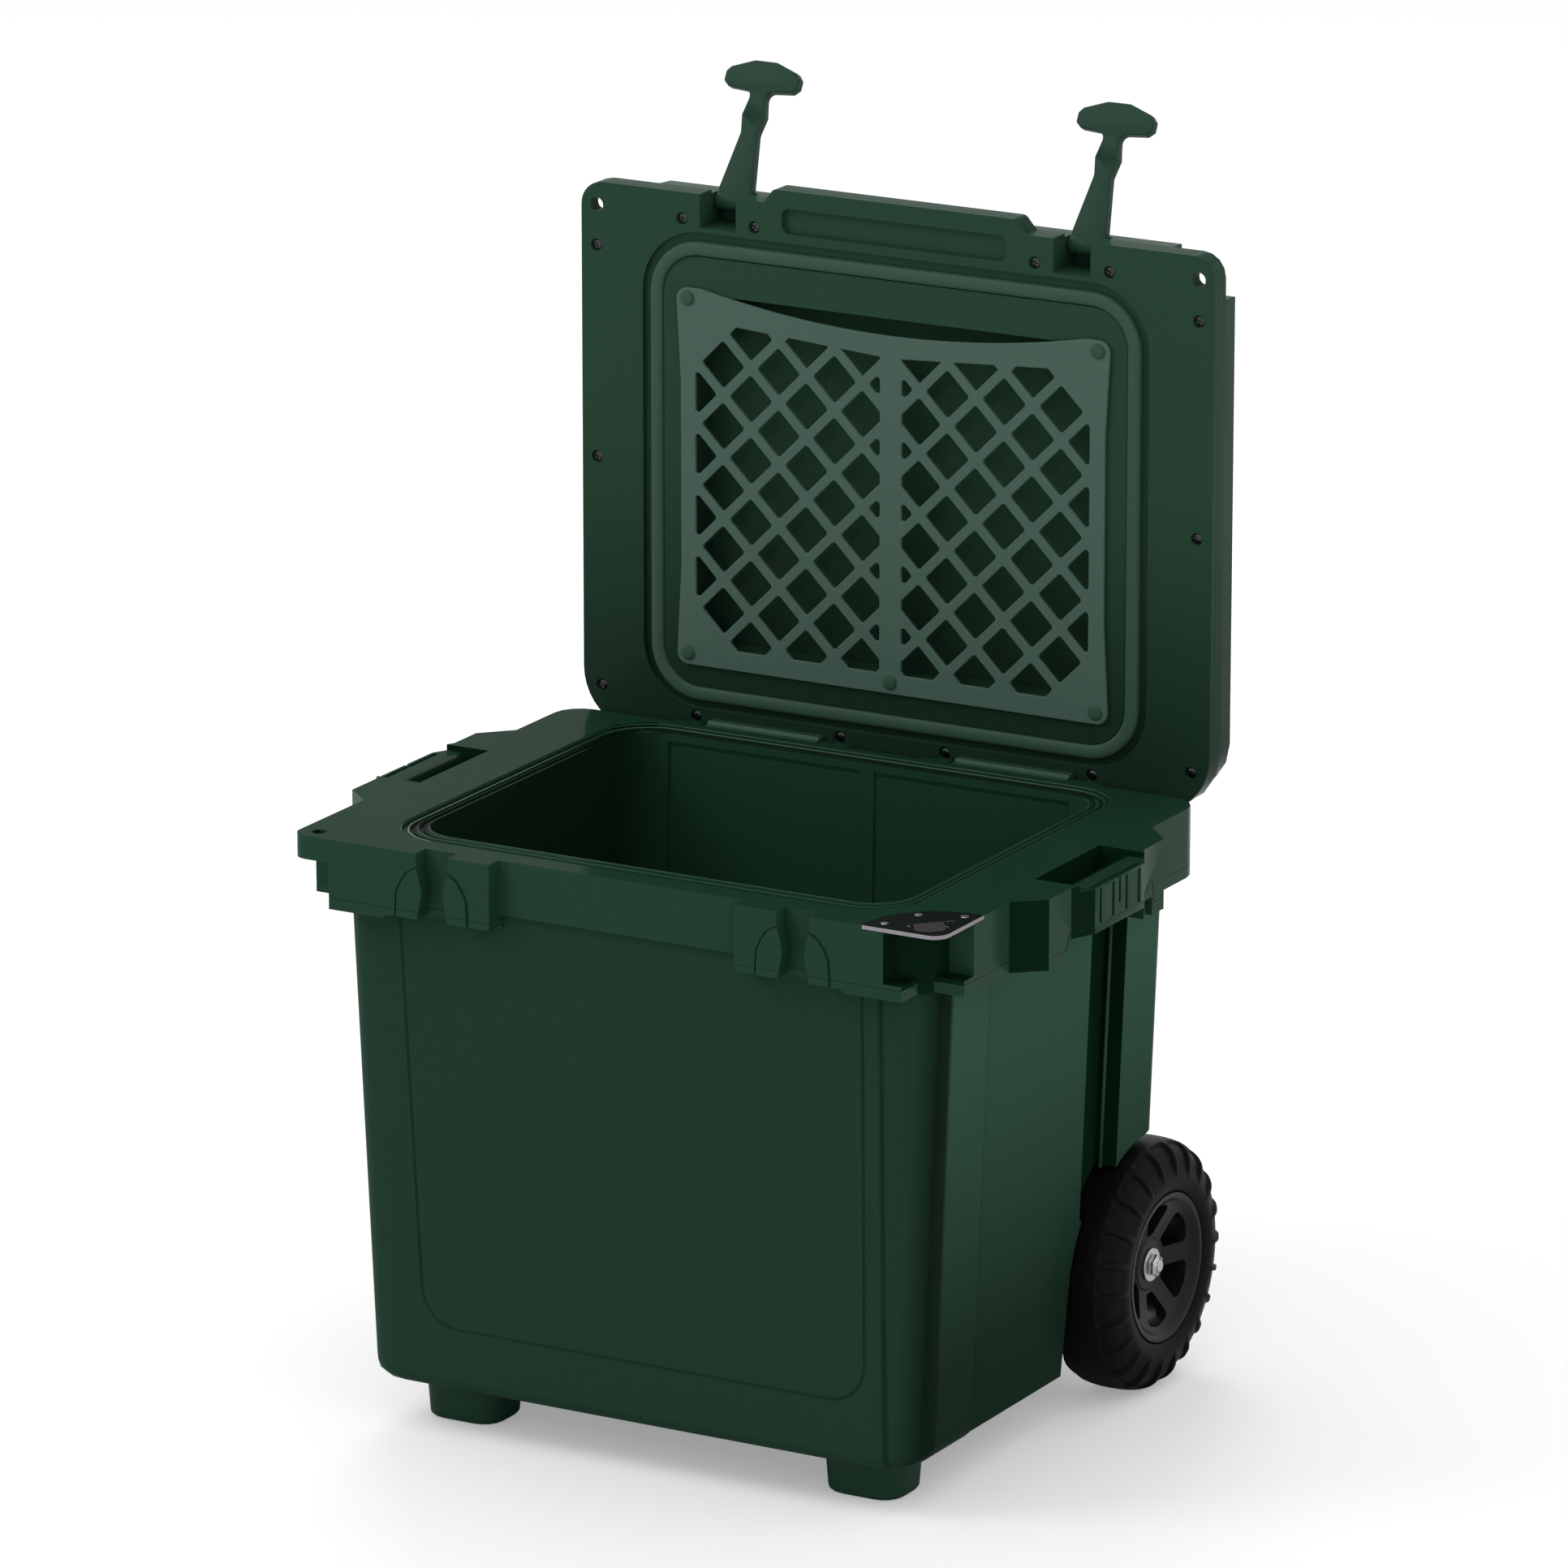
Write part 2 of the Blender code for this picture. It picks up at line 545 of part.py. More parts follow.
def rounded(corners, steps=CORNER_STEPS):
    """Points of a closed outline whose corners (x, y, radius) are rounded by arcs."""
    points = []
    count = len(corners)
    for i, (x, y, r) in enumerate(corners):
        here = Vector((x, y))
        if r <= 0:
            points.append(here)
            continue
        before = (Vector(corners[i - 1][:2]) - here).normalized()
        after = (Vector(corners[(i + 1) % count][:2]) - here).normalized()
        half = before.angle(after) / 2
        reach = r / abs(sin(half)) * cos(half)
        centre = here + (before + after).normalized() * (r / sin(half))
        first = here + before * reach - centre
        last = here + after * reach - centre
        start = atan2(first.y, first.x)
        turn = (atan2(last.y, last.x) - start + pi) % (2 * pi) - pi
        for k in range(steps + 1):
            angle = start + turn * k / steps
            points.append(centre + Vector((cos(angle), sin(angle))) * r)
    return points


def rounded_box(x0, x1, y0, y1, r, steps=CORNER_STEPS):
    return rounded([(x0, y0, r), (x1, y0, r), (x1, y1, r), (x0, y1, r)], steps)


def inset(points, distance):
    """The same closed anticlockwise outline, moved inwards with mitred corners."""
    moved = []
    count = len(points)
    for i, here in enumerate(points):
        before = (here - points[i - 1]).normalized()
        after = (points[(i + 1) % count] - here).normalized()
        inward = Vector((-before.y, before.x)) + Vector((-after.y, after.x))
        inward.normalize()
        share = inward.dot(Vector((-before.y, before.x)))
        moved.append(here + inward * (distance / share))
    return moved


def loft(name, loops):
    """A closed solid through loops of equally many points, capped at both ends."""
    count = len(loops[0])
    points = [tuple(p) for loop in loops for p in loop]
    faces = [list(range(count))[::-1]]
    for k in range(len(loops) - 1):
        low = k * count
        for i in range(count):
            j = (i + 1) % count
            faces.append([low + i, low + j, low + count + j, low + count + i])
    faces.append([(len(loops) - 1) * count + i for i in range(count)])
    return mesh_object(name, points, faces)


def at_height(points, z):
    return [(p.x, p.y, z) for p in points]


def prism(name, points, z0, z1):
    return loft(name, [at_height(points, z0), at_height(points, z1)])


def box(name, x0, x1, y0, y1, z0, z1):
    corners = [Vector((x0, y0)), Vector((x1, y0)), Vector((x1, y1)), Vector((x0, y1))]
    return prism(name, corners, z0, z1)


def ring_points(r, y, z, x, steps):
    return [(x, y + r * cos(2 * pi * k / steps), z + r * sin(2 * pi * k / steps)) for k in range(steps)]


def turned_x(name, profile, y, z, steps=ROUND_STEPS):
    """A solid turned about a line along x, through profile pairs (x, radius)."""
    return loft(name, [ring_points(r, y, z, x, steps) for x, r in profile])


def sleeve_x(name, x0, x1, r_out, r_in, y, z, steps=ROUND_STEPS):
    loops = [(x0, r_in), (x0, r_out), (x1, r_out), (x1, r_in), (x0, r_in)]
    points = [p for x, r in loops[:-1] for p in ring_points(r, y, z, x, steps)]
    faces = []
    for k in range(4):
        for i in range(steps):
            j = (i + 1) % steps
            low, high = k * steps, (k + 1) % 4 * steps
            faces.append([low + i, low + j, high + j, high + i])
    return mesh_object(name, points, faces)


def post(name, x, y, z0, z1, r, steps=ROUND_STEPS):
    turn = [Vector((x + r * cos(2 * pi * k / steps), y + r * sin(2 * pi * k / steps))) for k in range(steps)]
    return prism(name, turn, z0, z1)


def tube_z(name, x, y, z0, z1, r, wall):
    outer = post(name, x, y, z0, z1, r)
    return cut(outer, [post("bore", x, y, z0 - OVERRUN, z1 + OVERRUN, r - wall)])


def close_seams(mesh):
    """Split the long side of each flat seam that a cut left open at its middle points, and weld it."""
    shape = bmesh.new()
    shape.from_mesh(mesh)
    loose = [edge for edge in shape.edges if len(edge.link_faces) == 1]
    ends = {end for edge in loose for end in edge.verts}
    while loose:
        edge = loose.pop()
        first, last = edge.verts
        span = last.co - first.co
        for end in ends - {first, last}:
            share = (end.co - first.co).dot(span) / span.length_squared
            if 0 < share < 1 and (first.co + span * share - end.co).length < SEAM_SLACK:
                halves = bmesh.utils.edge_split(edge, first, share)
                halves[1].co = end.co
                loose += [edge, halves[0]]
                break
    bmesh.ops.remove_doubles(shape, verts=shape.verts, dist=SEAM_SLACK)
    shape.to_mesh(mesh)
    shape.free()


def combine(target, others, operation):
    for other in others:
        step = target.modifiers.new(operation, "BOOLEAN")
        step.operation = operation
        step.object = other
    bpy.context.view_layer.update()
    solid = target.evaluated_get(bpy.context.evaluated_depsgraph_get())
    mesh = bpy.data.meshes.new_from_object(solid)
    close_seams(mesh)
    target.modifiers.clear()
    target.data = mesh
    for other in others:
        bpy.data.objects.remove(other)
    return target


def cut(target, others):
    return combine(target, others, "DIFFERENCE")


def join(target, others):
    return combine(target, others, "UNION")


def mirrored(source):
    """A copy of a shape on the other side of the plane x = 0."""
    copy = source.copy()
    copy.data = source.data.copy()
    bpy.context.scene.collection.objects.link(copy)
    copy.data.transform(Matrix.Scale(-1, 4, Vector((1, 0, 0))))
    copy.data.flip_normals()
    return copy


def pair(source):
    return [source, mirrored(source)]


def joined_mesh(parts):
    """Several separate shapes as one cutter."""
    merged = bmesh.new()
    for part in parts:
        merged.from_mesh(part.data)
        bpy.data.objects.remove(part)
    mesh = bpy.data.meshes.new("cutters")
    merged.to_mesh(mesh)
    merged.free()
    made = bpy.data.objects.new("cutters", mesh)
    bpy.context.scene.collection.objects.link(made)
    return made


def prism_x(name, points, x0, x1):
    """A prism along x whose outline is given as (y, z)."""
    return loft(name, [[(x, p.x, p.y) for p in points] for x in (x0, x1)])


def prism_y(name, points, y0, y1):
    """A prism along y whose outline is given as (x, z)."""
    return loft(name, [[(p.x, y, p.y) for p in points] for y in (y0, y1)])


def running(r, steps=ROUND_STEPS):
    """The radius of a faceted bore in which a shaft of radius r turns freely."""
    return (r + GAP) / cos(pi / steps)


# Tub

def body_shrink(z):
    return BODY_SIDE_DRAFT * (BODY_TOP_Z - z) / (BODY_TOP_Z - BODY_FLOOR_Z)


def body_half(z):
    return BODY_TOP_HALF - body_shrink(z)


def body_loop(z, shrink):
    half = body_half(z)
    front = BODY_FRONT_Y + body_shrink(z) * BODY_FRONT_DRAFT / BODY_SIDE_DRAFT
    outline = rounded([
        (-half, front, BODY_FRONT_R), (half, front, BODY_FRONT_R),
        (half, BODY_REAR_Y, BODY_REAR_R), (-half, BODY_REAR_Y, BODY_REAR_R),
    ])
    return at_height(inset(outline, shrink), z)


def body_solid(name, shrink, z_top):
    """The tub's outer form, drawn in by the same distance on every side but the top."""
    floor = BODY_FLOOR_Z + shrink
    edge = BODY_EDGE_R - shrink
    loops = [body_loop(floor + edge * (1 - cos(a)), shrink + edge * (1 - sin(a)))
             for a in (0, pi / 6, pi / 3, pi / 2)]
    loops.append(body_loop(z_top, shrink))
    return loft(name, loops)


def side_slab(y0, y1, depth, grow, z_low, z_top):
    """A slab that lies in the right wall of the tub and reaches out past it."""
    loops = []
    for z in (z_low - grow, z_top + grow):
        inner = body_half(z) - depth - grow
        corners = [(inner, y0 - grow), (BODY_TOP_HALF + OVERRUN, y0 - grow),
                   (BODY_TOP_HALF + OVERRUN, y1 + grow), (inner, y1 + grow)]
        loops.append(at_height([Vector(c) for c in corners], z))
    return loft("side slab", loops)


def side_cuts(grow):
    panel = side_slab(SIDE_RECESS_FRONT_Y, SIDE_RECESS_REAR_Y, SIDE_RECESS, grow,
                      BODY_FLOOR_Z - OVERRUN, COLLAR_BOTTOM_Z)
    channel = side_slab(CHANNEL_FRONT_Y, SIDE_RECESS_REAR_Y, SIDE_RECESS + CHANNEL_DEPTH, grow,
                        CHANNEL_LOW_Z, COLLAR_BOTTOM_Z)
    return pair(panel) + pair(channel)


def well_cuts(grow):
    """Cutters for the two wheel wells, grown on every side that meets the tub."""
    reach = TYRE_R + WELL_CLEARANCE
    points = [Vector((WELL_FRONT_Y, BODY_FLOOR_Z - OVERRUN)),
              Vector((BODY_REAR_Y + OVERRUN, BODY_FLOOR_Z - OVERRUN)),
              Vector((BODY_REAR_Y + OVERRUN, TYRE_R + reach))]
    points += [Vector((AXLE_Y + reach * cos(a), TYRE_R + reach * sin(a)))
               for a in [pi / 2 + pi / 2 * k / WELL_STEPS for k in range(WELL_STEPS)]]
    return pair(prism_x("well", inset(points, -grow), WELL_INNER_X - grow, BODY_TOP_HALF + OVERRUN))


def liner_loop(z, grow):
    drawn = LINER_DRAFT * (LINER_TOP_Z - z) / (LINER_TOP_Z - LINER_FLOOR_Z)
    outline = rounded([
        (-MOUTH_HALF, MOUTH_FRONT_Y, MOUTH_R), (MOUTH_HALF, MOUTH_FRONT_Y, MOUTH_R),
        (MOUTH_HALF, MOUTH_REAR_Y, MOUTH_R), (-MOUTH_HALF, MOUTH_REAR_Y, MOUTH_R),
    ])
    return at_height(inset(outline, drawn - grow), z)


def liner_solid(name, grow, z_top):
    """The cavity's form, grown on every side but the top."""
    floor = LINER_FLOOR_Z - grow
    edge = LINER_EDGE_R + grow
    loops = [liner_loop(floor + edge * (1 - cos(a)), grow - edge * (1 - sin(a)))
             for a in (0, pi / 6, pi / 3, pi / 2)]
    loops.append(liner_loop(z_top, grow))
    solid = loft(name, loops)
    return cut(solid, well_cuts(BODY_WALL + WELL_FOAM + LINER_WALL - grow))


def drain_hole(r):
    return turned_x("drain hole", [(-BODY_TOP_HALF - OVERRUN, r), (-MOUTH_HALF + LINER_DRAFT + OVERRUN, r)],
                    DRAIN_Y, DRAIN_Z)


def make_outer_shell():
    shell = body_solid("outer_shell", 0, BODY_TOP_Z)
    cut(shell, side_cuts(0) + well_cuts(0))
    inner = cut(body_solid("inner", BODY_WALL, BODY_TOP_Z + OVERRUN),
                side_cuts(BODY_WALL) + well_cuts(BODY_WALL))
    cut(shell, [inner])
    axle_holes = pair(turned_x("axle hole", [(WELL_INNER_X - AXLE_ROOT - OVERRUN, AXLE_ROOT_R + GAP),
                                             (WELL_INNER_X + OVERRUN, AXLE_ROOT_R + GAP)], AXLE_Y, TYRE_R))
    seat = turned_x("drain seat", [(-BODY_TOP_HALF - OVERRUN, DRAIN_FLANGE_R + DRAIN_SEAT_ROOM),
                                   (DRAIN_SEAT_X, DRAIN_FLANGE_R + DRAIN_SEAT_ROOM)], DRAIN_Y, DRAIN_Z)
    return cut(shell, axle_holes + [seat, drain_hole(DRAIN_TUBE_R + GAP)])


def make_foam():
    foam = cut(body_solid("body_foam", BODY_WALL + GAP, BODY_TOP_Z),
               side_cuts(BODY_WALL + GAP) + well_cuts(BODY_WALL + GAP))
    cut(foam, [liner_solid("liner room", LINER_WALL + GAP, BODY_TOP_Z + OVERRUN)])
    axle_holes = pair(turned_x("axle hole", [(WELL_INNER_X - AXLE_ROOT - GAP, AXLE_ROOT_R + GAP),
                                             (WELL_INNER_X + OVERRUN, AXLE_ROOT_R + GAP)], AXLE_Y, TYRE_R))
    return cut(foam, axle_holes + [drain_hole(DRAIN_TUBE_R + GAP)])


def ledge_outline(grow):
    outline = rounded([
        (-LEDGE_HALF, LEDGE_FRONT_Y, LEDGE_R), (LEDGE_HALF, LEDGE_FRONT_Y, LEDGE_R),
        (LEDGE_HALF, LEDGE_REAR_Y, LEDGE_R), (-LEDGE_HALF, LEDGE_REAR_Y, LEDGE_R),
    ])
    return inset(outline, -grow)


def make_liner():
    liner = liner_solid("inner_liner", LINER_WALL, FLANGE_LOW_Z + OVERLAP)
    flange = loft("flange", [
        at_height(ledge_outline(FLANGE_REACH), FLANGE_LOW_Z),
        at_height(ledge_outline(FLANGE_REACH), FLANGE_STEP_Z),
        at_height(ledge_outline(-GAP), FLANGE_STEP_Z),
        at_height(ledge_outline(-GAP), LINER_TOP_Z),
    ])
    join(liner, [flange])
    cut(liner, [liner_solid("cavity", 0, LINER_TOP_Z + OVERRUN)])
    return cut(liner, [drain_hole(DRAIN_TUBE_R + GAP)])


def collar_outline():
    right = [
        (KEEPER_INNER_X, STRIP_FRONT_Y, 0), (KEEPER_INNER_X, COLLAR_FRONT_Y, 0),
        (LUG_HALF, COLLAR_FRONT_Y, LUG_FRONT_R), (LUG_HALF, LUG_FRONT_END_Y, 0),
        (HANDLE_HALF, HANDLE_FRONT_Y, 0), (HANDLE_HALF, GRIP_FLARE_FRONT_Y, 0),
        (GRIP_HALF, GRIP_FRONT_Y, 0), (GRIP_HALF, GRIP_REAR_Y, 0),
        (HANDLE_HALF, GRIP_FLARE_REAR_Y, 0), (HANDLE_HALF, HANDLE_REAR_Y, 0),
        (LUG_HALF, LUG_REAR_END_Y, 0), (LUG_HALF, COLLAR_REAR_Y, LUG_REAR_R),
    ]
    left = [(-x, y, r) for x, y, r in reversed(right)]
    return rounded(right + left)


def keeper_gap():
    """The wavy gap that a latch hangs in, with its narrow throat."""
    middle = (KEEPER_GAP_INNER_X + KEEPER_GAP_OUTER_X) / 2
    half = (KEEPER_GAP_OUTER_X - KEEPER_GAP_INNER_X) / 2
    sides = [
        (half, DECK_Z + OVERRUN), (half, DECK_Z - KEEPER_LIP), (KEEPER_THROAT_HALF, KEEPER_THROAT_Z),
        (half, COLLAR_BOTTOM_Z), (half, COLLAR_BOTTOM_Z - OVERRUN),
    ]
    points = [Vector((middle + x, z)) for x, z in reversed(sides)]
    points += [Vector((middle - x, z)) for x, z in sides]
    return prism_y("keeper gap", points, COLLAR_FRONT_Y - OVERRUN, STRIP_FRONT_Y)


def lug_pocket(x, y, z0, z1):
    """A cutter for the right front corner of the collar that leaves the wall round the tub."""
    block = box("pocket", x, LUG_HALF + OVERRUN, COLLAR_FRONT_Y - OVERRUN, y, z0, z1)
    wall = [Vector(p[:2]) for p in body_loop(BODY_TOP_Z, -COLLAR_WALL)]
    kept = prism("wall", wall, COLLAR_BOTTOM_Z - OVERRUN - OVERRUN, DECK_Z + OVERRUN)
    return cut(block, [kept])


def grip_cuts():
    slot = box("finger slot", SLOT_INNER_X, SLOT_OUTER_X, SLOT_FRONT_Y, SLOT_REAR_Y,
               COLLAR_BOTTOM_Z - OVERRUN, DECK_Z + OVERRUN)
    drop = box("grip drop", SLOT_OUTER_X - OVERLAP, GRIP_HALF + OVERRUN, SLOT_FRONT_Y, SLOT_REAR_Y,
               DECK_Z - GRIP_DROP, DECK_Z + OVERRUN)
    under = box("grip underside", SLOT_INNER_X, GRIP_HALF + OVERRUN, GRIP_FLARE_FRONT_Y, GRIP_FLARE_REAR_Y,
                COLLAR_BOTTOM_Z - OVERRUN, GRIP_BOTTOM_Z)
    groove = box("pad groove", GRIP_HALF - PAD_WALL - PAD_GROOVE, GRIP_HALF - PAD_WALL,
                 GRIP_FRONT_Y, GRIP_REAR_Y, DECK_Z - GRIP_DROP - PAD_GROOVE_DEPTH, DECK_Z + OVERRUN)
    return pair(slot) + pair(drop) + pair(under) + pair(groove)


def pad_slits():
    """Upright slits in the outer wall of the right grip."""
    slits = []
    pitch = (GRIP_REAR_Y - GRIP_FRONT_Y) / PAD_COUNT
    for k in range(1, PAD_COUNT):
        middle = GRIP_FRONT_Y + pitch * k
        slits.append(box("slit", GRIP_HALF - PAD_SLIT_DEPTH, GRIP_HALF + OVERRUN,
                         middle - PAD_SLIT_HALF, middle + PAD_SLIT_HALF, PAD_LOW_Z, DECK_Z - PAD_TOP_DROP))
    return joined_mesh(slits)


def collar_part(name, z0, z1):
    """A level slice of the collar, with the room for the tub and every opening cut out."""
    part = prism(name, collar_outline(), z0, z1)
    room = loft("tub room", [body_loop(z, -GAP) for z in (COLLAR_BOTTOM_Z - OVERRUN, FLANGE_STEP_Z + GAP)])
    cut(part, [room] + pair(keeper_gap()) + grip_cuts())
    under_lug = lug_pocket(LUG_POCKET_X, LUG_POCKET_Y, COLLAR_BOTTOM_Z - OVERRUN, DECK_Z - LUG_PLATE_THICK)
    notch = lug_pocket(LUG_POCKET_X, LUG_POCKET_Y, COLLAR_BOTTOM_Z - OVERRUN, OPENER_POCKET_FLOOR_Z + OVERLAP)
    under_left_lug = mirrored(under_lug)
    bpy.data.objects.remove(under_lug)
    return cut(part, [under_left_lug, notch])


def arc_through(first, middle, last, steps):
    """Points on the circle through three points, from the first to the last."""
    ax, ay, bx, by, cx, cy = *first, *middle, *last
    d = 2 * (ax * (by - cy) + bx * (cy - ay) + cx * (ay - by))
    a2, b2, c2 = ax * ax + ay * ay, bx * bx + by * by, cx * cx + cy * cy
    centre = Vector(((a2 * (by - cy) + b2 * (cy - ay) + c2 * (ay - by)) / d,
                     (a2 * (cx - bx) + b2 * (ax - cx) + c2 * (bx - ax)) / d))
    r = (Vector(first) - centre).length
    start = atan2(first[1] - centre.y, first[0] - centre.x)
    end = atan2(last[1] - centre.y, last[0] - centre.x)
    turn = (end - start) % (2 * pi)
    return [centre + Vector((cos(start + turn * k / steps), sin(start + turn * k / steps))) * r
            for k in range(steps + 1)]


def opener_outline(grow):
    corner = Vector((LUG_HALF, COLLAR_FRONT_Y))
    first = corner + Vector((0, OPENER_REACH))
    last = corner - Vector((OPENER_REACH, 0))
    bulge = corner + Vector((-OPENER_BULGE, OPENER_BULGE)) / DIAGONAL_SHARE
    curve = arc_through(tuple(first), tuple(bulge), tuple(last), ROUND_STEPS // 2)
    edge = rounded([(last.x, last.y, 0), (corner.x, corner.y, LUG_FRONT_R), (first.x, first.y, 0)])
    points = edge[:-1] + curve[:-1]
    return inset(points, -grow)


def opener_slot_outline():
    middle = Vector((LUG_HALF, COLLAR_FRONT_Y)) + Vector((-OPENER_SLOT_SET, OPENER_SLOT_SET))
    along = Vector((1, 1)).normalized()
    across = Vector((-1, 1)).normalized()
    points = rounded_box(-OPENER_SLOT_LENGTH / 2, OPENER_SLOT_LENGTH / 2, -OPENER_SLOT_HALF, OPENER_SLOT_HALF,
                         OPENER_SLOT_HALF * OPENER_SLOT_ROUND_SHARE)
    return [middle + along * p.x + across * p.y for p in points]


def opener_screw_spots():
    corner = Vector((LUG_HALF, COLLAR_FRONT_Y))
    return [corner + Vector((-OPENER_SCREW_FRONT_IN, OPENER_SCREW_FRONT_BACK)),
            corner + Vector((-OPENER_SCREW_MIDDLE_IN, OPENER_SCREW_MIDDLE_BACK)),
            corner + Vector((-OPENER_SCREW_SIDE_IN, OPENER_SCREW_SIDE_BACK))]


def make_top_collar():
    collar = collar_part("top_collar", COLLAR_SEAM_Z, DECK_Z)
    mouth = prism("mouth", ledge_outline(0), FLANGE_STEP_Z - OVERRUN, DECK_Z + OVERRUN)
    recess = prism("opener recess", opener_outline(GAP), DECK_Z - OPENER_THICK - GAP, DECK_Z + OVERRUN)
    pocket = lug_pocket(OPENER_POCKET_X, OPENER_POCKET_Y, OPENER_POCKET_FLOOR_Z,
                        DECK_Z - OPENER_THICK - GAP + OVERLAP)
    hole = post("tie hole", -LUG_HOLE_X, LUG_HOLE_Y, COLLAR_BOTTOM_Z, DECK_Z + OVERRUN, LUG_HOLE_R)
    cut(collar, [mouth, recess, pocket, hole])
    cut(collar, pair(pad_slits()))
    screws = [post("screw hole", p.x, p.y, DECK_Z - OPENER_THICK - OPENER_SCREW_LENGTH - GAP, DECK_Z,
                   SCREW_SHANK_R + GAP, SCREW_STEPS) for p in opener_screw_spots()]
    cut(collar, [joined_mesh(screws)])
    ears = []
    for x0, x1 in ear_spans():
        ears.append(ear_block(x0, x1))
    join(collar, pair(ears[0]) + pair(ears[1]))
    bores = [turned_x("rod bore", [(BARREL_START_X - EAR_GAP - EAR_LENGTH + ROD_END_WALL, HINGE_BORE_R),
                                   (BARREL_END_X + EAR_GAP + EAR_LENGTH - ROD_END_WALL, HINGE_BORE_R)],
                      HINGE_Y, HINGE_Z)]
    return cut(collar, pair(bores[0]))


def ear_spans():
    return [(BARREL_START_X - EAR_GAP - EAR_LENGTH, BARREL_START_X - EAR_GAP),
            (BARREL_END_X + EAR_GAP, BARREL_END_X + EAR_GAP + EAR_LENGTH)]


def ear_block(x0, x1):
    """A hinge ear: half a round end on the rod's line, and a foot that runs into the collar."""
    foot_y = COLLAR_REAR_Y - OVERLAP
    points = [Vector((foot_y, HINGE_Z + EAR_R)), Vector((foot_y, EAR_LOW_Z))]
    points += [Vector((HINGE_Y + EAR_R * cos(a), HINGE_Z + EAR_R * sin(a)))
               for a in [-pi / 4 + pi * 3 / 4 * k / CORNER_STEPS / 2 for k in range(CORNER_STEPS * 2 + 1)]]
    return prism_x("ear", points, x0, x1)


def make_opener():
    plate = prism("corner_plate", opener_outline(0), DECK_Z - OPENER_THICK, DECK_Z)
    holes = [post("hole", p.x, p.y, DECK_Z - OPENER_THICK - OVERRUN, DECK_Z + OVERRUN,
                  SCREW_SHANK_R + GAP, SCREW_STEPS) for p in opener_screw_spots()]
    slot = prism("slot", opener_slot_outline(), DECK_Z - OPENER_THICK - OVERRUN, DECK_Z + OVERRUN)
    sinks = [post("sink", p.x, p.y, DECK_Z - OPENER_SCREW_SINK, DECK_Z + OVERRUN,
                  OPENER_SCREW_HEAD_R + GAP, SCREW_STEPS) for p in opener_screw_spots()]
    return cut(plate, [joined_mesh(holes + [slot]), joined_mesh(sinks)])


def screw(name, x, y, z, direction, head_r, head_height, shank_r, shank_length):
    """A flat-headed screw whose head rests at height z, its shank reaching along direction."""
    profile = [(z - direction * head_height, head_r), (z, head_r), (z, shank_r),
               (z + direction * shank_length, shank_r)]
    if direction < 0:
        profile = profile[::-1]
    loops = [[(x + r * cos(2 * pi * k / SCREW_STEPS), y + r * sin(2 * pi * k / SCREW_STEPS), h)
              for k in range(SCREW_STEPS)] for h, r in profile]
    return loft(name, loops)


def make_opener_screws():
    made = []
    for k, p in enumerate(opener_screw_spots()):
        made.append(screw("plate_screw_%d" % (k + 1), p.x, p.y, DECK_Z - OPENER_SCREW_SINK + GAP, -1,
                          OPENER_SCREW_HEAD_R, OPENER_SCREW_HEAD, SCREW_SHANK_R,
                          OPENER_THICK - OPENER_SCREW_SINK + OPENER_SCREW_LENGTH))
    return made


# Lid

def lid_outline(grow=0):
    right = [(LIP_HALF, LIP_FRONT_Y, LIP_R), (LIP_HALF + LIP_SLOPE, LID_FRONT_Y, 0),
             (LID_HALF, LID_FRONT_Y, LID_FRONT_R), (LID_HALF, LID_REAR_Y, LID_REAR_R)]
    left = [(-x, y, r) for x, y, r in reversed(right)]
    return inset(rounded(right + left), -grow)


def crown_loop(z, shrink):
    half = LID_HALF - CROWN_INSET
    right = [(CROWN_NOTCH_X, CROWN_FRONT_Y, 0), (CROWN_NOTCH_X, CROWN_NOTCH_Y, CROWN_NOTCH_R),
             (half, CROWN_NOTCH_Y, 0), (half, LID_REAR_Y - CROWN_REAR_INSET, CROWN_CORNER_R)]
    left = [(-x, y, r) for x, y, r in reversed(right)]
    return at_height(inset(rounded(right + left), shrink), z)


def latch_slot_cuts(z0, z1):
    return pair(box("latch slot", LATCH_X - LATCH_SLOT_HALF, LATCH_X + LATCH_SLOT_HALF,
                    LIP_FRONT_Y - OVERRUN, LATCH_SLOT_REAR_Y, z0, z1))


def tie_holes(z0, z1):
    return pair(post("tie hole", LUG_HOLE_X, LUG_HOLE_Y, z0, z1, LUG_HOLE_R))


def lid_screw_spots():
    front_y, rear_y = LID_FRONT_Y + SCREW_FRONT_SET, LID_REAR_Y - SCREW_REAR_SET
    side_x = LID_HALF - SCREW_SIDE_SET
    half = [
        (LATCH_X - SCREW_BY_LATCH, front_y), (LATCH_X + SCREW_BY_LATCH, front_y),
        (side_x, LID_FRONT_Y + SCREW_SIDE_FRONT_SET), (side_x, SCREW_SIDE_MIDDLE_Y),
        (LID_HALF - SCREW_CORNER_SET_X, LID_REAR_Y - SCREW_CORNER_SET_Y),
        (SCREW_REAR_OUTER_X, rear_y), (SCREW_REAR_INNER_X, rear_y),
    ]
    return [(side * x, y) for x, y in half for side in (-1, 1)]


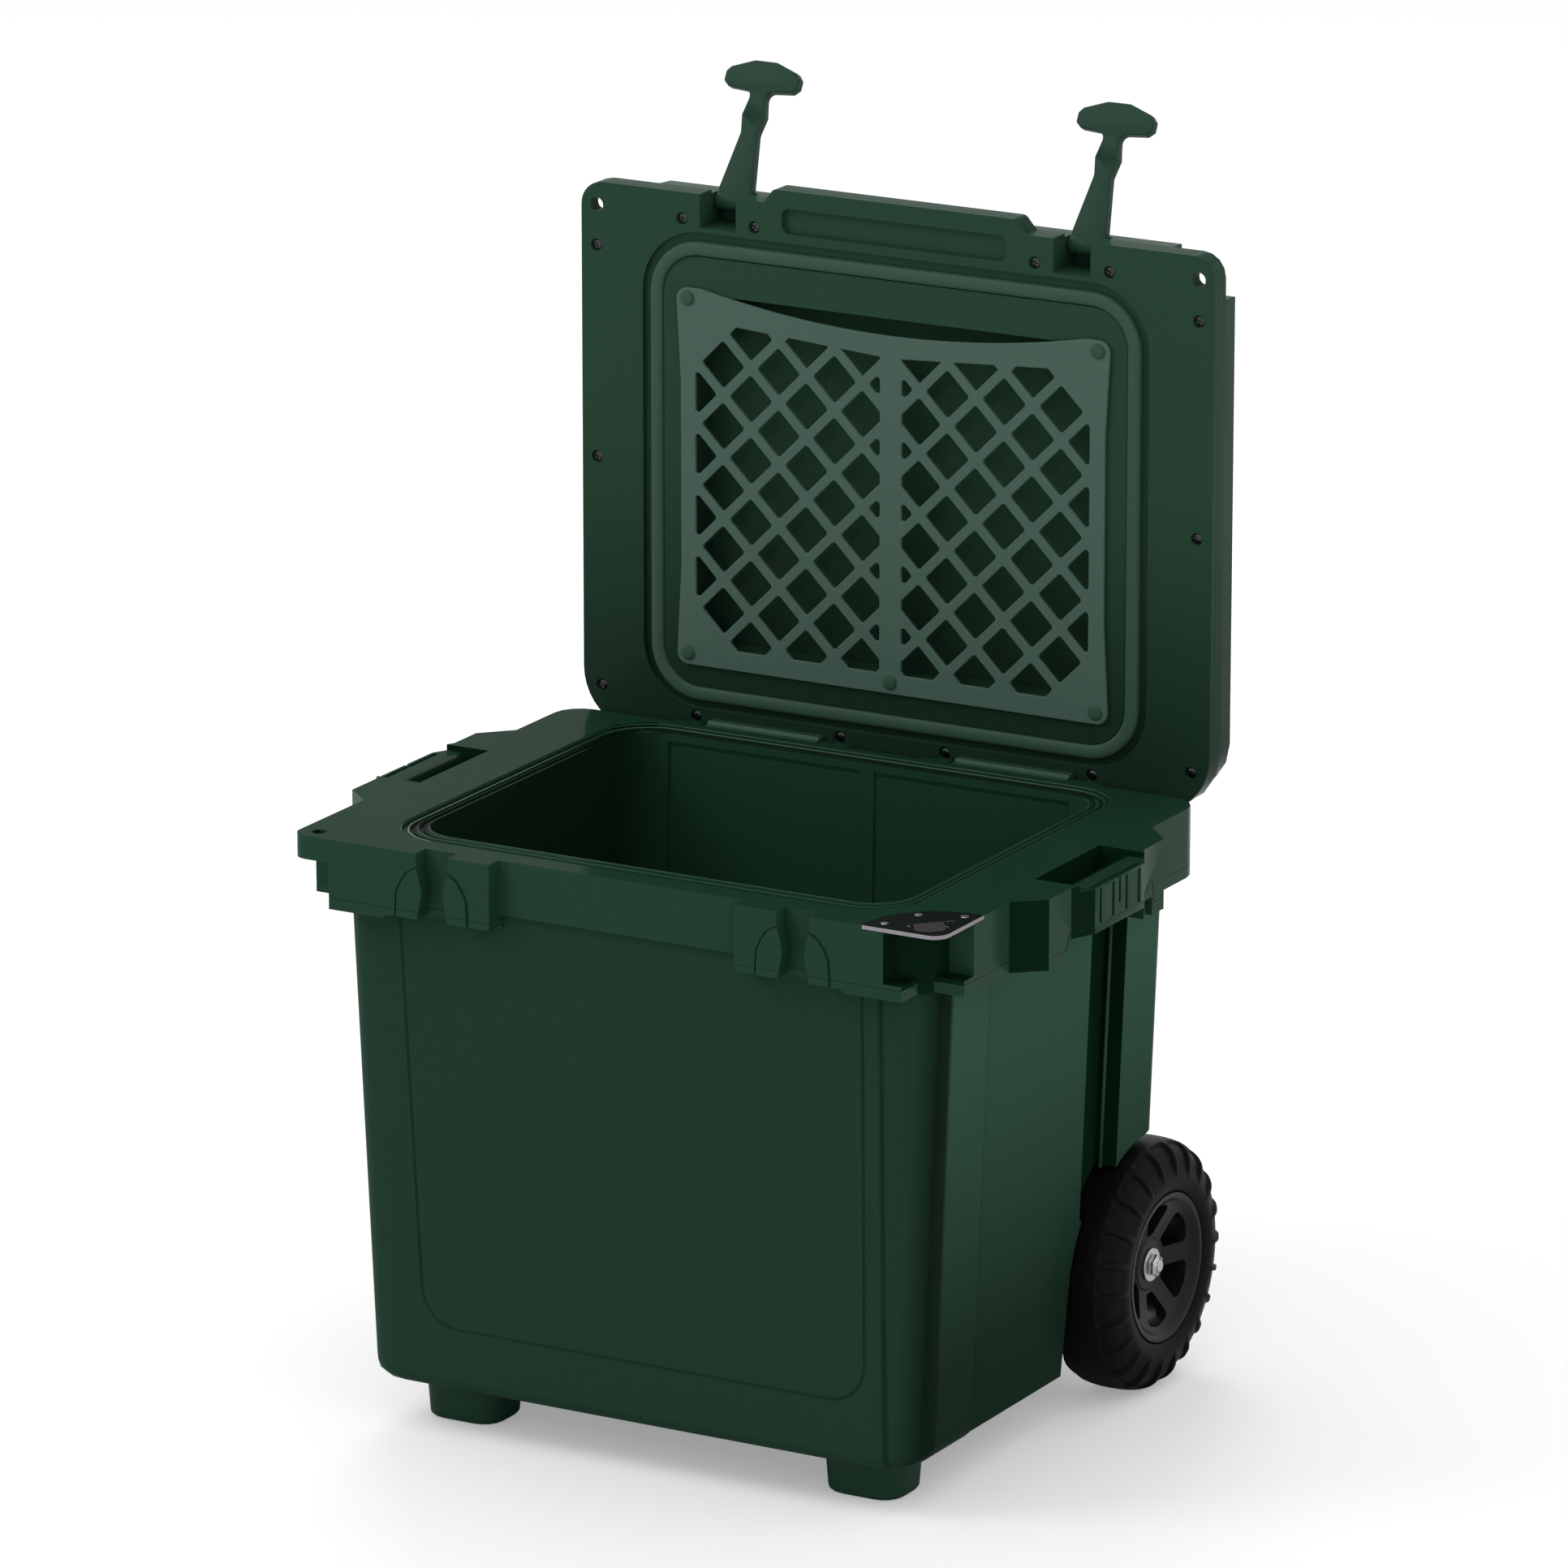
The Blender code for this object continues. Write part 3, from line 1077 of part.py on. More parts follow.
def make_lid_shell():
    shell = prism("lid_outer_shell", lid_outline(), SHELL_LOW_Z, LID_LOW_Z + FLANGE_HEIGHT)
    top = LID_LOW_Z + CROWN_HEIGHT
    crown = loft("crown", [
        crown_loop(LID_LOW_Z + FLANGE_HEIGHT - OVERLAP, 0),
        crown_loop(top - CROWN_EDGE_R, CROWN_TAPER),
        crown_loop(top - CROWN_EDGE_R * (1 - sin(pi / 4)), CROWN_TAPER + CROWN_EDGE_R * (1 - cos(pi / 4))),
        crown_loop(top, CROWN_TAPER + CROWN_EDGE_R),
    ])
    join(shell, [crown])
    cavity = prism("cavity", lid_room(0), SHELL_LOW_Z - OVERRUN, top - LID_WALL)
    holes = [post("screw hole", x, y, SHELL_LOW_Z - OVERRUN, SCREW_SEAT_Z + SCREW_SHANK_LENGTH + GAP,
                  SCREW_SHANK_R + GAP, SCREW_STEPS) for x, y in lid_screw_spots()]
    pins = turned_x("pin bore", [(LATCH_X - LATCH_SLOT_HALF - PIN_REACH - GAP, PIN_BORE_R),
                                 (LATCH_X + LATCH_SLOT_HALF + PIN_REACH + GAP, PIN_BORE_R)], PIN_Y, PIN_Z)
    cut(shell, [cavity] + tie_holes(SHELL_LOW_Z - OVERRUN, top + OVERRUN)
        + latch_slot_cuts(SHELL_LOW_Z - OVERRUN, LATCH_SLOT_TOP_Z) + pair(pins))
    return cut(shell, [joined_mesh(holes)])


def lid_room(shrink):
    return inset(rounded_box(-LID_FOAM_HALF, LID_FOAM_HALF, LID_FOAM_FRONT_Y, LID_FOAM_REAR_Y, LID_FOAM_R),
                 shrink)


def pocket_box(grow):
    return inset(rounded_box(-POCKET_HALF, POCKET_HALF, POCKET_FRONT_Y, POCKET_REAR_Y, POCKET_R), -grow)


def gasket_loop(grow):
    return inset(rounded_box(-GASKET_HALF, GASKET_HALF, GASKET_FRONT_Y, GASKET_REAR_Y, GASKET_R), -grow)


def make_inner_panel():
    panel = prism("lid_inner_panel", lid_outline(), LID_LOW_Z, LID_LOW_Z + PANEL_THICK)
    tray = prism("tray", pocket_box(POCKET_WALL), LID_LOW_Z + OVERLAP, POCKET_TOP_Z + POCKET_WALL)
    join(panel, [tray])
    barrel = pair(turned_x("barrel", [(BARREL_START_X, BARREL_R), (BARREL_END_X, BARREL_R)],
                           HINGE_Y, HINGE_Z))
    legs = pair(box("leg", BARREL_START_X, BARREL_END_X, HINGE_Y - BARREL_LEG_HALF, HINGE_Y + BARREL_LEG_HALF,
                    HINGE_Z, LID_LOW_Z + OVERLAP))
    join(panel, legs + barrel)
    pocket = prism("pocket", pocket_box(0), LID_LOW_Z - OVERRUN, POCKET_TOP_Z)
    groove = cut(prism("groove", gasket_loop(GASKET_GROOVE_WIDTH / 2), LID_LOW_Z - OVERRUN,
                       LID_LOW_Z + GASKET_GROOVE_DEPTH),
                 [prism("island", gasket_loop(-GASKET_GROOVE_WIDTH / 2), LID_LOW_Z - OVERRUN - OVERRUN,
                        LID_LOW_Z + PANEL_THICK)])
    pull = prism("pull recess", rounded_box(-PULL_RECESS_HALF, PULL_RECESS_HALF, PULL_RECESS_FRONT_Y,
                                            PULL_RECESS_REAR_Y, PULL_RECESS_R),
                 LID_LOW_Z - OVERRUN, LID_LOW_Z + PULL_RECESS_DEPTH)
    z0, z1 = LID_LOW_Z - OVERRUN, LID_LOW_Z + PANEL_THICK + OVERRUN
    cut(panel, [pocket, groove, pull] + tie_holes(z0, z1) + latch_slot_cuts(z0, z1))
    through = [post("screw hole", x, y, z0, z1, SCREW_SHANK_R + GAP, SCREW_STEPS)
               for x, y in lid_screw_spots()]
    wide = [post("screw recess", x, y, z0, LID_LOW_Z + SCREW_RECESS_DEPTH, SCREW_RECESS_R, SCREW_STEPS)
            for x, y in lid_screw_spots()]
    buttons = [post("button hole", x, y, z0, LID_LOW_Z + BUTTON_SHANK_DEPTH + GAP, BUTTON_SHANK_R + GAP,
                    SCREW_STEPS) for x, y in button_spots()]
    rods = turned_x("rod bore", [(BARREL_START_X - OVERRUN, HINGE_BORE_R),
                                 (BARREL_END_X + OVERRUN, HINGE_BORE_R)], HINGE_Y, HINGE_Z)
    return cut(panel, [joined_mesh(through), joined_mesh(wide + buttons)] + pair(rods))


def button_spots():
    return [(-BUTTON_X, BUTTON_FRONT_Y), (BUTTON_X, BUTTON_FRONT_Y), (-BUTTON_X, BUTTON_REAR_Y),
            (BUTTON_X, BUTTON_REAR_Y), (0, BUTTON_REAR_Y)]


def make_lid_foam():
    foam = prism("lid_foam", lid_room(GAP), LID_LOW_Z + PANEL_THICK + GAP,
                 LID_LOW_Z + CROWN_HEIGHT - LID_WALL - GAP)
    tray = prism("tray room", pocket_box(POCKET_WALL + GAP), LID_LOW_Z, POCKET_TOP_Z + POCKET_WALL + GAP)
    return cut(foam, [tray])


def make_gasket():
    low, high = LID_LOW_Z - GASKET_PROUD, LID_LOW_Z + GASKET_GROOVE_DEPTH - GAP
    half = GASKET_WIDTH / 2
    section = [(-half, high), (-half, low + GASKET_ROUND), (-half + GASKET_ROUND, low),
               (half - GASKET_ROUND, low), (half, low + GASKET_ROUND), (half, high)]
    loops = [at_height(gasket_loop(side), z) for side, z in section]
    count = len(loops[0])
    points = [p for loop in loops for p in loop]
    faces = []
    for k in range(len(loops)):
        for i in range(count):
            j = (i + 1) % count
            a, b = k * count, (k + 1) % len(loops) * count
            faces.append([a + i, a + j, b + j, b + i])
    return mesh_object("lid_gasket", points, faces)


def clip(points, nx, ny, limit):
    """The part of a polygon where x * nx + y * ny stays within the limit."""
    kept = []
    for i, here in enumerate(points):
        last = points[i - 1]
        a = limit - (last.x * nx + last.y * ny)
        b = limit - (here.x * nx + here.y * ny)
        if (a < 0) != (b < 0):
            kept.append(last.lerp(here, a / (a - b)))
        if b >= 0:
            kept.append(here)
    return kept


def area(points):
    return abs(sum(p.x * points[i - 1].y - p.y * points[i - 1].x for i, p in enumerate(points))) / 2


def net_windows():
    """The diamond openings of the right half of the net, each clipped by its frame."""
    half_pitch = NET_PITCH / 2
    reach = half_pitch - NET_STRAND / DIAGONAL_SHARE
    outer = NET_WINDOW_OUTER_X
    columns = int((outer - NET_WINDOW_INNER_X) / half_pitch) + 1
    rows = int((NET_WINDOW_REAR_Y - NET_WINDOW_FRONT_Y) / half_pitch) + 2
    windows = []
    for i in range(columns + 1):
        for j in range(-rows, rows + 1):
            if (i + j) % 2:
                continue
            x, y = outer - i * half_pitch, NET_CENTRE_Y + j * half_pitch
            shape = [Vector((x + reach, y)), Vector((x, y + reach)),
                     Vector((x - reach, y)), Vector((x, y - reach))]
            shape = clip(shape, 1, 0, outer)
            shape = clip(shape, -1, 0, -NET_WINDOW_INNER_X)
            shape = clip(shape, 0, 1, NET_WINDOW_REAR_Y)
            slope = NET_WINDOW_SAG / outer
            shape = clip(shape, -slope, -1, -NET_WINDOW_FRONT_Y - NET_WINDOW_SAG)
            shape = clip(shape, 1, 1, outer + NET_WINDOW_REAR_Y - NET_WINDOW_CUT)
            shape = clip(shape, 1, -1, outer - NET_WINDOW_FRONT_Y - NET_WINDOW_CUT)
            if len(shape) > 2 and area(shape) > reach * reach * NET_LEAST_SHARE:
                windows.append(shape)
    return windows


def make_grille():
    arc = []
    for k in range(NET_ARC_STEPS + 1):
        share = 2 * k / NET_ARC_STEPS - 1
        arc.append((share * (NET_HALF - NET_R * 2), NET_FRONT_Y + NET_SAG * (1 - share * share), 0))
    middle = (NET_FRONT_Y + NET_REAR_Y) / 2
    outline = rounded([(-NET_HALF, NET_FRONT_Y, NET_R)] + arc + [
        (NET_HALF, NET_FRONT_Y, NET_R), (NET_HALF - NET_SIDE_DIP, middle, 0),
        (NET_HALF, NET_REAR_Y, NET_R), (-NET_HALF, NET_REAR_Y, NET_R),
        (NET_SIDE_DIP - NET_HALF, middle, 0)])
    top = LID_LOW_Z - GAP
    grille = prism("lid_grille", outline, top - NET_THICK, top)
    holes = []
    for shape in net_windows():
        low, high = top - NET_THICK - OVERRUN, top + OVERRUN
        holes.append(prism("window", shape, low, high))
        holes.append(prism("window", [Vector((-p.x, p.y)) for p in reversed(shape)], low, high))
    for x, y in button_spots():
        holes.append(post("button hole", x, y, top - NET_THICK - OVERRUN, top + OVERRUN,
                          BUTTON_SHANK_R + GAP, SCREW_STEPS))
    return cut(grille, [joined_mesh(holes)])


def make_buttons():
    made = []
    seat = LID_LOW_Z - GAP - NET_THICK - GAP
    for k, (x, y) in enumerate(button_spots()):
        made.append(screw("grille_button_%d" % (k + 1), x, y, seat, 1, BUTTON_R, BUTTON_HEIGHT,
                          BUTTON_SHANK_R, LID_LOW_Z + BUTTON_SHANK_DEPTH - seat))
    return made


def make_lid_screws():
    made = []
    for k, (x, y) in enumerate(lid_screw_spots()):
        made.append(screw("lid_screw_%02d" % (k + 1), x, y, SCREW_SEAT_Z - GAP, 1, SCREW_HEAD_R,
                          SCREW_HEAD_HEIGHT, SCREW_SHANK_R, SCREW_SHANK_LENGTH))
    return made


def latch_profile():
    right = [
        (LATCH_BASE_HALF, LATCH_BARREL_R), (LATCH_BASE_HALF, -LATCH_BASE_S),
        (LATCH_WAIST_HALF, -LATCH_WAIST_S),
        (LATCH_BULGE_HALF, -LATCH_BULGE_S), (LATCH_BULGE_HALF, -LATCH_BULGE_S - LATCH_BULGE_LENGTH),
        (LATCH_NECK_HALF, -LATCH_NECK_S), (LATCH_NECK_HALF, -LATCH_HEAD_S),
        (LATCH_HEAD_HALF - LATCH_HEAD_CORNER, -LATCH_HEAD_END_S),
        (LATCH_HEAD_HALF, -LATCH_HEAD_END_S - LATCH_HEAD_CORNER),
        (LATCH_HEAD_HALF, -LATCH_TIP_END_S + LATCH_HEAD_CORNER),
        (LATCH_HEAD_HALF - LATCH_HEAD_CORNER, -LATCH_TIP_END_S), (LATCH_CREST_HALF, -LATCH_TIP_S),
    ]
    left = [(-x, z) for x, z in reversed(right)]
    return [Vector((LATCH_X + x, PIN_Z + z)) for x, z in right + left]


def make_latch(name):
    latch = prism_y(name, latch_profile(), PIN_Y - LATCH_THICK / 2, PIN_Y + LATCH_THICK / 2)
    barrel = turned_x("barrel", [(LATCH_X - LATCH_BASE_HALF + OVERLAP / 2, LATCH_BARREL_R + OVERLAP / 2),
                                 (LATCH_X + LATCH_BASE_HALF - OVERLAP / 2, LATCH_BARREL_R + OVERLAP / 2)],
                      PIN_Y, PIN_Z)
    join(latch, [barrel])
    bore = turned_x("bore", [(LATCH_X - LATCH_BASE_HALF - OVERRUN, PIN_BORE_R),
                             (LATCH_X + LATCH_BASE_HALF + OVERRUN, PIN_BORE_R)], PIN_Y, PIN_Z)
    return cut(latch, [bore])


# Wheels, drawn on the right

def make_tyre(name):
    x0, x1 = TYRE_INNER_X, TYRE_OUTER_X
    bead_r, shoulder_r = RIM_R + TYRE_WALL_RISE, TYRE_R - TYRE_SHOULDER
    section = [
        (x0 + TYRE_BEAD_SET, RIM_R, 0), (x0, bead_r, 0), (x0 + TYRE_SHOULDER_SET, shoulder_r, TYRE_LUG_DEPTH),
        (x0 + TYRE_SHOULDER, TYRE_R, TYRE_LUG_DEPTH), (x1 - TYRE_SHOULDER, TYRE_R, TYRE_LUG_DEPTH),
        (x1 - TYRE_SHOULDER_SET, shoulder_r, TYRE_LUG_DEPTH), (x1, bead_r, 0), (x1 - TYRE_BEAD_SET, RIM_R, 0),
    ]
    points = []
    for lug in range(TYRE_LUGS):
        for share, low in TYRE_LUG_SHARES:
            angle = 2 * pi * (lug + share) / TYRE_LUGS - pi / 2
            for x, r, depth in section:
                reach = r - low * depth
                points.append((x, AXLE_Y + reach * cos(angle), TYRE_R + reach * sin(angle)))
    stations = TYRE_LUGS * len(TYRE_LUG_SHARES)
    count = len(section)
    faces = []
    for s in range(stations):
        a, b = s * count, (s + 1) % stations * count
        for i in range(count):
            j = (i + 1) % count
            faces.append([a + i, a + j, b + j, b + i])
    return mesh_object(name, points, faces)


def make_hub(name):
    rim, lip = RIM_R - GAP, RIM_R - RIM_WALL
    bore = running(AXLE_R, HUB_STEPS)
    x0, x1 = TYRE_INNER_X + TYRE_BEAD_SET, TYRE_OUTER_X - TYRE_BEAD_SET
    face, dish, dish_r = x1 - WEB_RECESS, x1 - WEB_RECESS + DISH_RISE, lip - DISH_SET
    profile = [(x0, rim), (x1, rim), (x1, lip), (dish, dish_r), (face, HUB_R), (HUB_OUTER_X, HUB_R),
               (HUB_OUTER_X, bore), (HUB_INNER_X, bore), (HUB_INNER_X, HUB_R),
               (face - WEB_THICK, HUB_R), (dish - WEB_THICK, dish_r), (x0, lip)]
    points = [p for x, r in profile for p in ring_points(r, AXLE_Y, TYRE_R, x, HUB_STEPS)]
    faces = []
    for k in range(len(profile)):
        a, b = k * HUB_STEPS, (k + 1) % len(profile) * HUB_STEPS
        for i in range(HUB_STEPS):
            j = (i + 1) % HUB_STEPS
            faces.append([a + i, a + j, b + j, b + i])
    hub = mesh_object(name, points, faces)
    windows = []
    for k in range(SPOKES):
        middle = 2 * pi * (k + 0.5) / SPOKES
        wide = pi / SPOKES * WINDOW_OUTER_SHARE
        narrow = pi / SPOKES * WINDOW_INNER_SHARE
        corners = [(WINDOW_INNER_R, -narrow), (WINDOW_OUTER_R, -wide),
                   (WINDOW_OUTER_R, wide), (WINDOW_INNER_R, narrow)]
        points = [Vector((AXLE_Y + r * cos(middle + a), TYRE_R + r * sin(middle + a))) for r, a in corners]
        windows.append(prism_x("window", points, face - WEB_THICK - OVERRUN, dish + OVERRUN))
    return cut(hub, [joined_mesh(windows)])


def make_axle(name):
    seat_x = WELL_INNER_X + GAP
    profile = [(WELL_INNER_X - AXLE_ROOT, AXLE_ROOT_R), (seat_x, AXLE_ROOT_R), (seat_x, AXLE_FLANGE_R),
               (seat_x + AXLE_FLANGE_THICK, AXLE_FLANGE_R), (seat_x + AXLE_FLANGE_THICK, AXLE_R),
               (AXLE_END_X, AXLE_R)]
    return turned_x(name, profile, AXLE_Y, TYRE_R)


def make_washer(name):
    inner_x = HUB_OUTER_X + WASHER_PLAY
    return sleeve_x(name, inner_x, inner_x + WASHER_THICK, WASHER_R, running(AXLE_R), AXLE_Y, TYRE_R)


def make_nut(name):
    inner_x = HUB_OUTER_X + WASHER_PLAY + WASHER_THICK + GAP
    outer_x = inner_x + NUT_THICK
    nut = turned_x(name, [(inner_x, NUT_R), (outer_x, NUT_R)], AXLE_Y, TYRE_R, NUT_SIDES)
    bore = running(AXLE_R)
    return cut(nut, [turned_x("thread", [(inner_x - OVERRUN, bore), (outer_x + OVERRUN, bore)],
                              AXLE_Y, TYRE_R)])


# Pull handle

def make_housing():
    outline = rounded([
        (-HOUSING_HALF, BODY_REAR_Y + GAP, 0), (HOUSING_HALF, BODY_REAR_Y + GAP, 0),
        (HOUSING_HALF, HOUSING_REAR_Y, HOUSING_R), (-HOUSING_HALF, HOUSING_REAR_Y, HOUSING_R)])
    housing = prism("handle_housing", outline, HOUSING_LOW_Z, HOUSING_TOP_Z)
    room = box("room", -HOUSING_HALF + HOUSING_WALL, HOUSING_HALF - HOUSING_WALL, BODY_REAR_Y - OVERRUN,
               HOUSING_REAR_Y - HOUSING_WALL, HOUSING_LOW_Z + HOUSING_WALL, HOUSING_TOP_Z - HOUSING_WALL)
    holes = pair(post("tube hole", TUBE_X, TUBE_Y, HOUSING_TOP_Z - HOUSING_WALL - OVERRUN,
                      HOUSING_TOP_Z + OVERRUN, MIDDLE_R + GAP))
    return cut(housing, [room] + holes)


def make_pull_grip():
    outline = rounded_box(-PULL_GRIP_HALF, PULL_GRIP_HALF, TUBE_Y - PULL_GRIP_HALF_DEPTH,
                          TUBE_Y + PULL_GRIP_HALF_DEPTH, PULL_GRIP_R)
    edge = PULL_GRIP_EDGE
    grip = loft("pull_grip", [
        at_height(inset(outline, edge), PULL_GRIP_LOW_Z), at_height(outline, PULL_GRIP_LOW_Z + edge),
        at_height(outline, PULL_GRIP_TOP_Z - edge), at_height(inset(outline, edge), PULL_GRIP_TOP_Z)])
    holes = pair(post("tube hole", TUBE_X, TUBE_Y, PULL_GRIP_LOW_Z - OVERRUN, GRIP_TUBE_TOP_Z + GAP,
                      GRIP_TUBE_R + GAP))
    room = box("button room", -RELEASE_HALF - GAP, RELEASE_HALF + GAP, TUBE_Y - RELEASE_HALF_DEPTH - GAP,
               TUBE_Y + RELEASE_HALF_DEPTH + GAP, PULL_GRIP_TOP_Z - RELEASE_DEPTH - RELEASE_TRAVEL - GAP,
               PULL_GRIP_TOP_Z + OVERRUN)
    return cut(grip, holes + [room])


# Assembly

def coat(made, colour, rough, metal=0):
    name = "%s_look" % made.name
    look = bpy.data.materials.new(name)
    look.use_nodes = True
    principled = look.node_tree.nodes["Principled BSDF"]
    principled.inputs["Base Color"].default_value = (*colour, 1)
    principled.inputs["Roughness"].default_value = rough
    principled.inputs["Metallic"].default_value = metal
    made.data.materials.clear()
    made.data.materials.append(look)
    made.data.shade_smooth()
    made.data.set_sharp_from_angle(angle=radians(SHARP_DEGREES))


def pivot(name, place, parent=None):
    made = bpy.data.objects.new(name, None)
    bpy.context.scene.collection.objects.link(made)
    made.location = place
    made.parent = parent
    return made


def hang(made, parent, place):
    """Move a mesh that was drawn in place so that its own origin lies on its joint."""
    made.data.transform(Matrix.Translation(-Vector(place)))
    made.parent = parent


def flipped(made):
    """Move a shape that was drawn on the right to the left."""
    made.data.transform(Matrix.Scale(-1, 4, Vector((1, 0, 0))))
    made.data.flip_normals()


def make_feet():
    outline = rounded_box(FOOT_X - FOOT_HALF_X, FOOT_X + FOOT_HALF_X, FOOT_Y - FOOT_HALF_Y,
                          FOOT_Y + FOOT_HALF_Y, FOOT_R)
    levels = [(FOOT_SPREAD + FOOT_SOLE_INSET, 0), (FOOT_SPREAD, FOOT_SOLE_INSET), (0, BODY_FLOOR_Z - GAP)]
    right = loft("foot_right", [at_height(inset(outline, shrink), z) for shrink, z in levels])
    left = mirrored(right)
    left.name = "foot_left"
    return [right, left]


def make_hinge_rods():
    start = BARREL_START_X - EAR_GAP - EAR_LENGTH + ROD_END_WALL + GAP
    end = BARREL_END_X + EAR_GAP + EAR_LENGTH - ROD_END_WALL - GAP
    right = turned_x("hinge_rod_right", [(start, HINGE_ROD_R), (end, HINGE_ROD_R)], HINGE_Y, HINGE_Z)
    left = mirrored(right)
    left.name = "hinge_rod_left"
    return [right, left]


def make_drain_fitting():
    seat_x = DRAIN_SEAT_X - GAP
    fitting = turned_x("drain_fitting", [
        (seat_x - DRAIN_FLANGE_THICK, DRAIN_FLANGE_R), (seat_x, DRAIN_FLANGE_R), (seat_x, DRAIN_TUBE_R),
        (DRAIN_TUBE_END_X, DRAIN_TUBE_R)], DRAIN_Y, DRAIN_Z)
    return cut(fitting, [drain_hole(DRAIN_BORE_R)])


def make_drain_plug(seat_x):
    face_x = seat_x - PLUG_CAP_THICK
    plug = turned_x("drain_plug", [
        (face_x, PLUG_CAP_R - PLUG_EDGE), (face_x + PLUG_EDGE, PLUG_CAP_R), (seat_x, PLUG_CAP_R),
        (seat_x, PLUG_STEM_R), (seat_x + PLUG_STEM_LENGTH, PLUG_STEM_R)], DRAIN_Y, DRAIN_Z)
    reach = PLUG_CAP_R - PLUG_GRIP_SET
    grip = box("grip", face_x - PLUG_GRIP_PROUD, face_x + OVERLAP, DRAIN_Y - reach, DRAIN_Y + reach,
               DRAIN_Z - PLUG_GRIP_HALF, DRAIN_Z + PLUG_GRIP_HALF)
    return join(plug, [grip])


def add_tub(stand):
    """Everything that stays with the tub."""
    greens = [make_outer_shell(), make_top_collar(),
              collar_part("collar_trim", COLLAR_BOTTOM_Z, COLLAR_SEAM_Z - GAP)]
    for made in greens:
        coat(made, GREEN, GLOSS_ROUGH)
    liner = make_liner()
    coat(liner, GREEN_DARK, GLOSS_ROUGH)
    foam = make_foam()
    coat(foam, FOAM_CREAM, FOAM_ROUGH)
    plate = make_opener()
    coat(plate, PLATE_BLACK, STEEL_ROUGH, 1)
    metals = make_opener_screws() + make_hinge_rods()
    for made in metals:
        coat(made, STEEL, STEEL_ROUGH, 1)
    feet = make_feet()
    for made in feet:
        coat(made, GREEN, FOOT_ROUGH)
    blacks = [make_drain_fitting(), make_housing()]
    for made in blacks:
        coat(made, RUBBER_BLACK, RUBBER_ROUGH)
    for made in greens + [liner, foam, plate] + metals + feet + blacks:
        made.parent = stand


def add_drain_plug(stand):
    seat_x = DRAIN_SEAT_X - DRAIN_FLANGE_THICK - GAP - GAP
    plug = make_drain_plug(seat_x)
    coat(plug, RUBBER_BLACK, RUBBER_ROUGH)
    place = (seat_x, DRAIN_Y, DRAIN_Z)
    hang(plug, pivot("plug_pivot", place, stand), place)


def add_wheels(stand):
    for side, word in ((1, "right"), (-1, "left")):
        metals = [make_axle("axle_" + word), make_washer("axle_washer_" + word), make_nut("axle_nut_" + word)]
        tyre = make_tyre("tyre_" + word)
        hub = make_hub("hub_" + word)
        if side < 0:
            for made in metals + [tyre, hub]:
                flipped(made)
        for made in metals:
            coat(made, STEEL, STEEL_ROUGH, 1)
            made.parent = stand
        coat(tyre, RUBBER_BLACK, RUBBER_ROUGH)
        coat(hub, RUBBER_BLACK, HUB_ROUGH)
        place = (side * (TYRE_INNER_X + TYRE_OUTER_X) / 2, AXLE_Y, TYRE_R)
        wheel = pivot("wheel_pivot_" + word, place, stand)
        hang(tyre, wheel, place)
        hang(hub, wheel, place)


def make_latch_pin(name):
    reach = LATCH_SLOT_HALF + PIN_REACH
    return turned_x(name, [(LATCH_X - reach, PIN_R), (LATCH_X + reach, PIN_R)], PIN_Y, PIN_Z)


def add_lid(stand):
    """The lid with all that it carries, turned open."""
    hinge = (0, HINGE_Y, HINGE_Z)
    lid = pivot("lid_pivot", hinge, stand)
    lid.rotation_euler = (LID_OPEN_ANGLE, 0, 0)
    greens = [make_lid_shell(), make_inner_panel()]
    for made in greens:
        coat(made, GREEN, GLOSS_ROUGH)
    foam = make_lid_foam()
    coat(foam, FOAM_CREAM, FOAM_ROUGH)
    gasket = make_gasket()
    coat(gasket, GREEN, RUBBER_ROUGH)
    nets = [make_grille()] + make_buttons()
    for made in nets:
        coat(made, NET_GREEN, RUBBER_ROUGH)
    screws = make_lid_screws()
    for made in screws:
        coat(made, SCREW_GREY, STEEL_ROUGH, 1)
    pieces = greens + [foam, gasket] + nets + screws
    for side, word in ((1, "right"), (-1, "left")):
        pin = make_latch_pin("latch_pin_" + word)
        latch = make_latch("latch_" + word)
        if side < 0:
            flipped(pin)
            flipped(latch)
        coat(pin, STEEL, STEEL_ROUGH, 1)
        coat(latch, GREEN, RUBBER_ROUGH)
        pieces.append(pin)
        place = (side * LATCH_X, PIN_Y, PIN_Z)
        turn = pivot("latch_pivot_" + word, Vector(place) - Vector(hinge), lid)
        turn.rotation_euler = (LATCH_REST_ANGLE, 0, 0)
        hang(latch, turn, place)
    for made in pieces:
        hang(made, lid, hinge)


def make_release_button():
    outline = rounded_box(-RELEASE_HALF, RELEASE_HALF, TUBE_Y - RELEASE_HALF_DEPTH,
                          TUBE_Y + RELEASE_HALF_DEPTH, RELEASE_R)
    return prism("release_button", outline, PULL_GRIP_TOP_Z - RELEASE_DEPTH, PULL_GRIP_TOP_Z + RELEASE_PROUD)


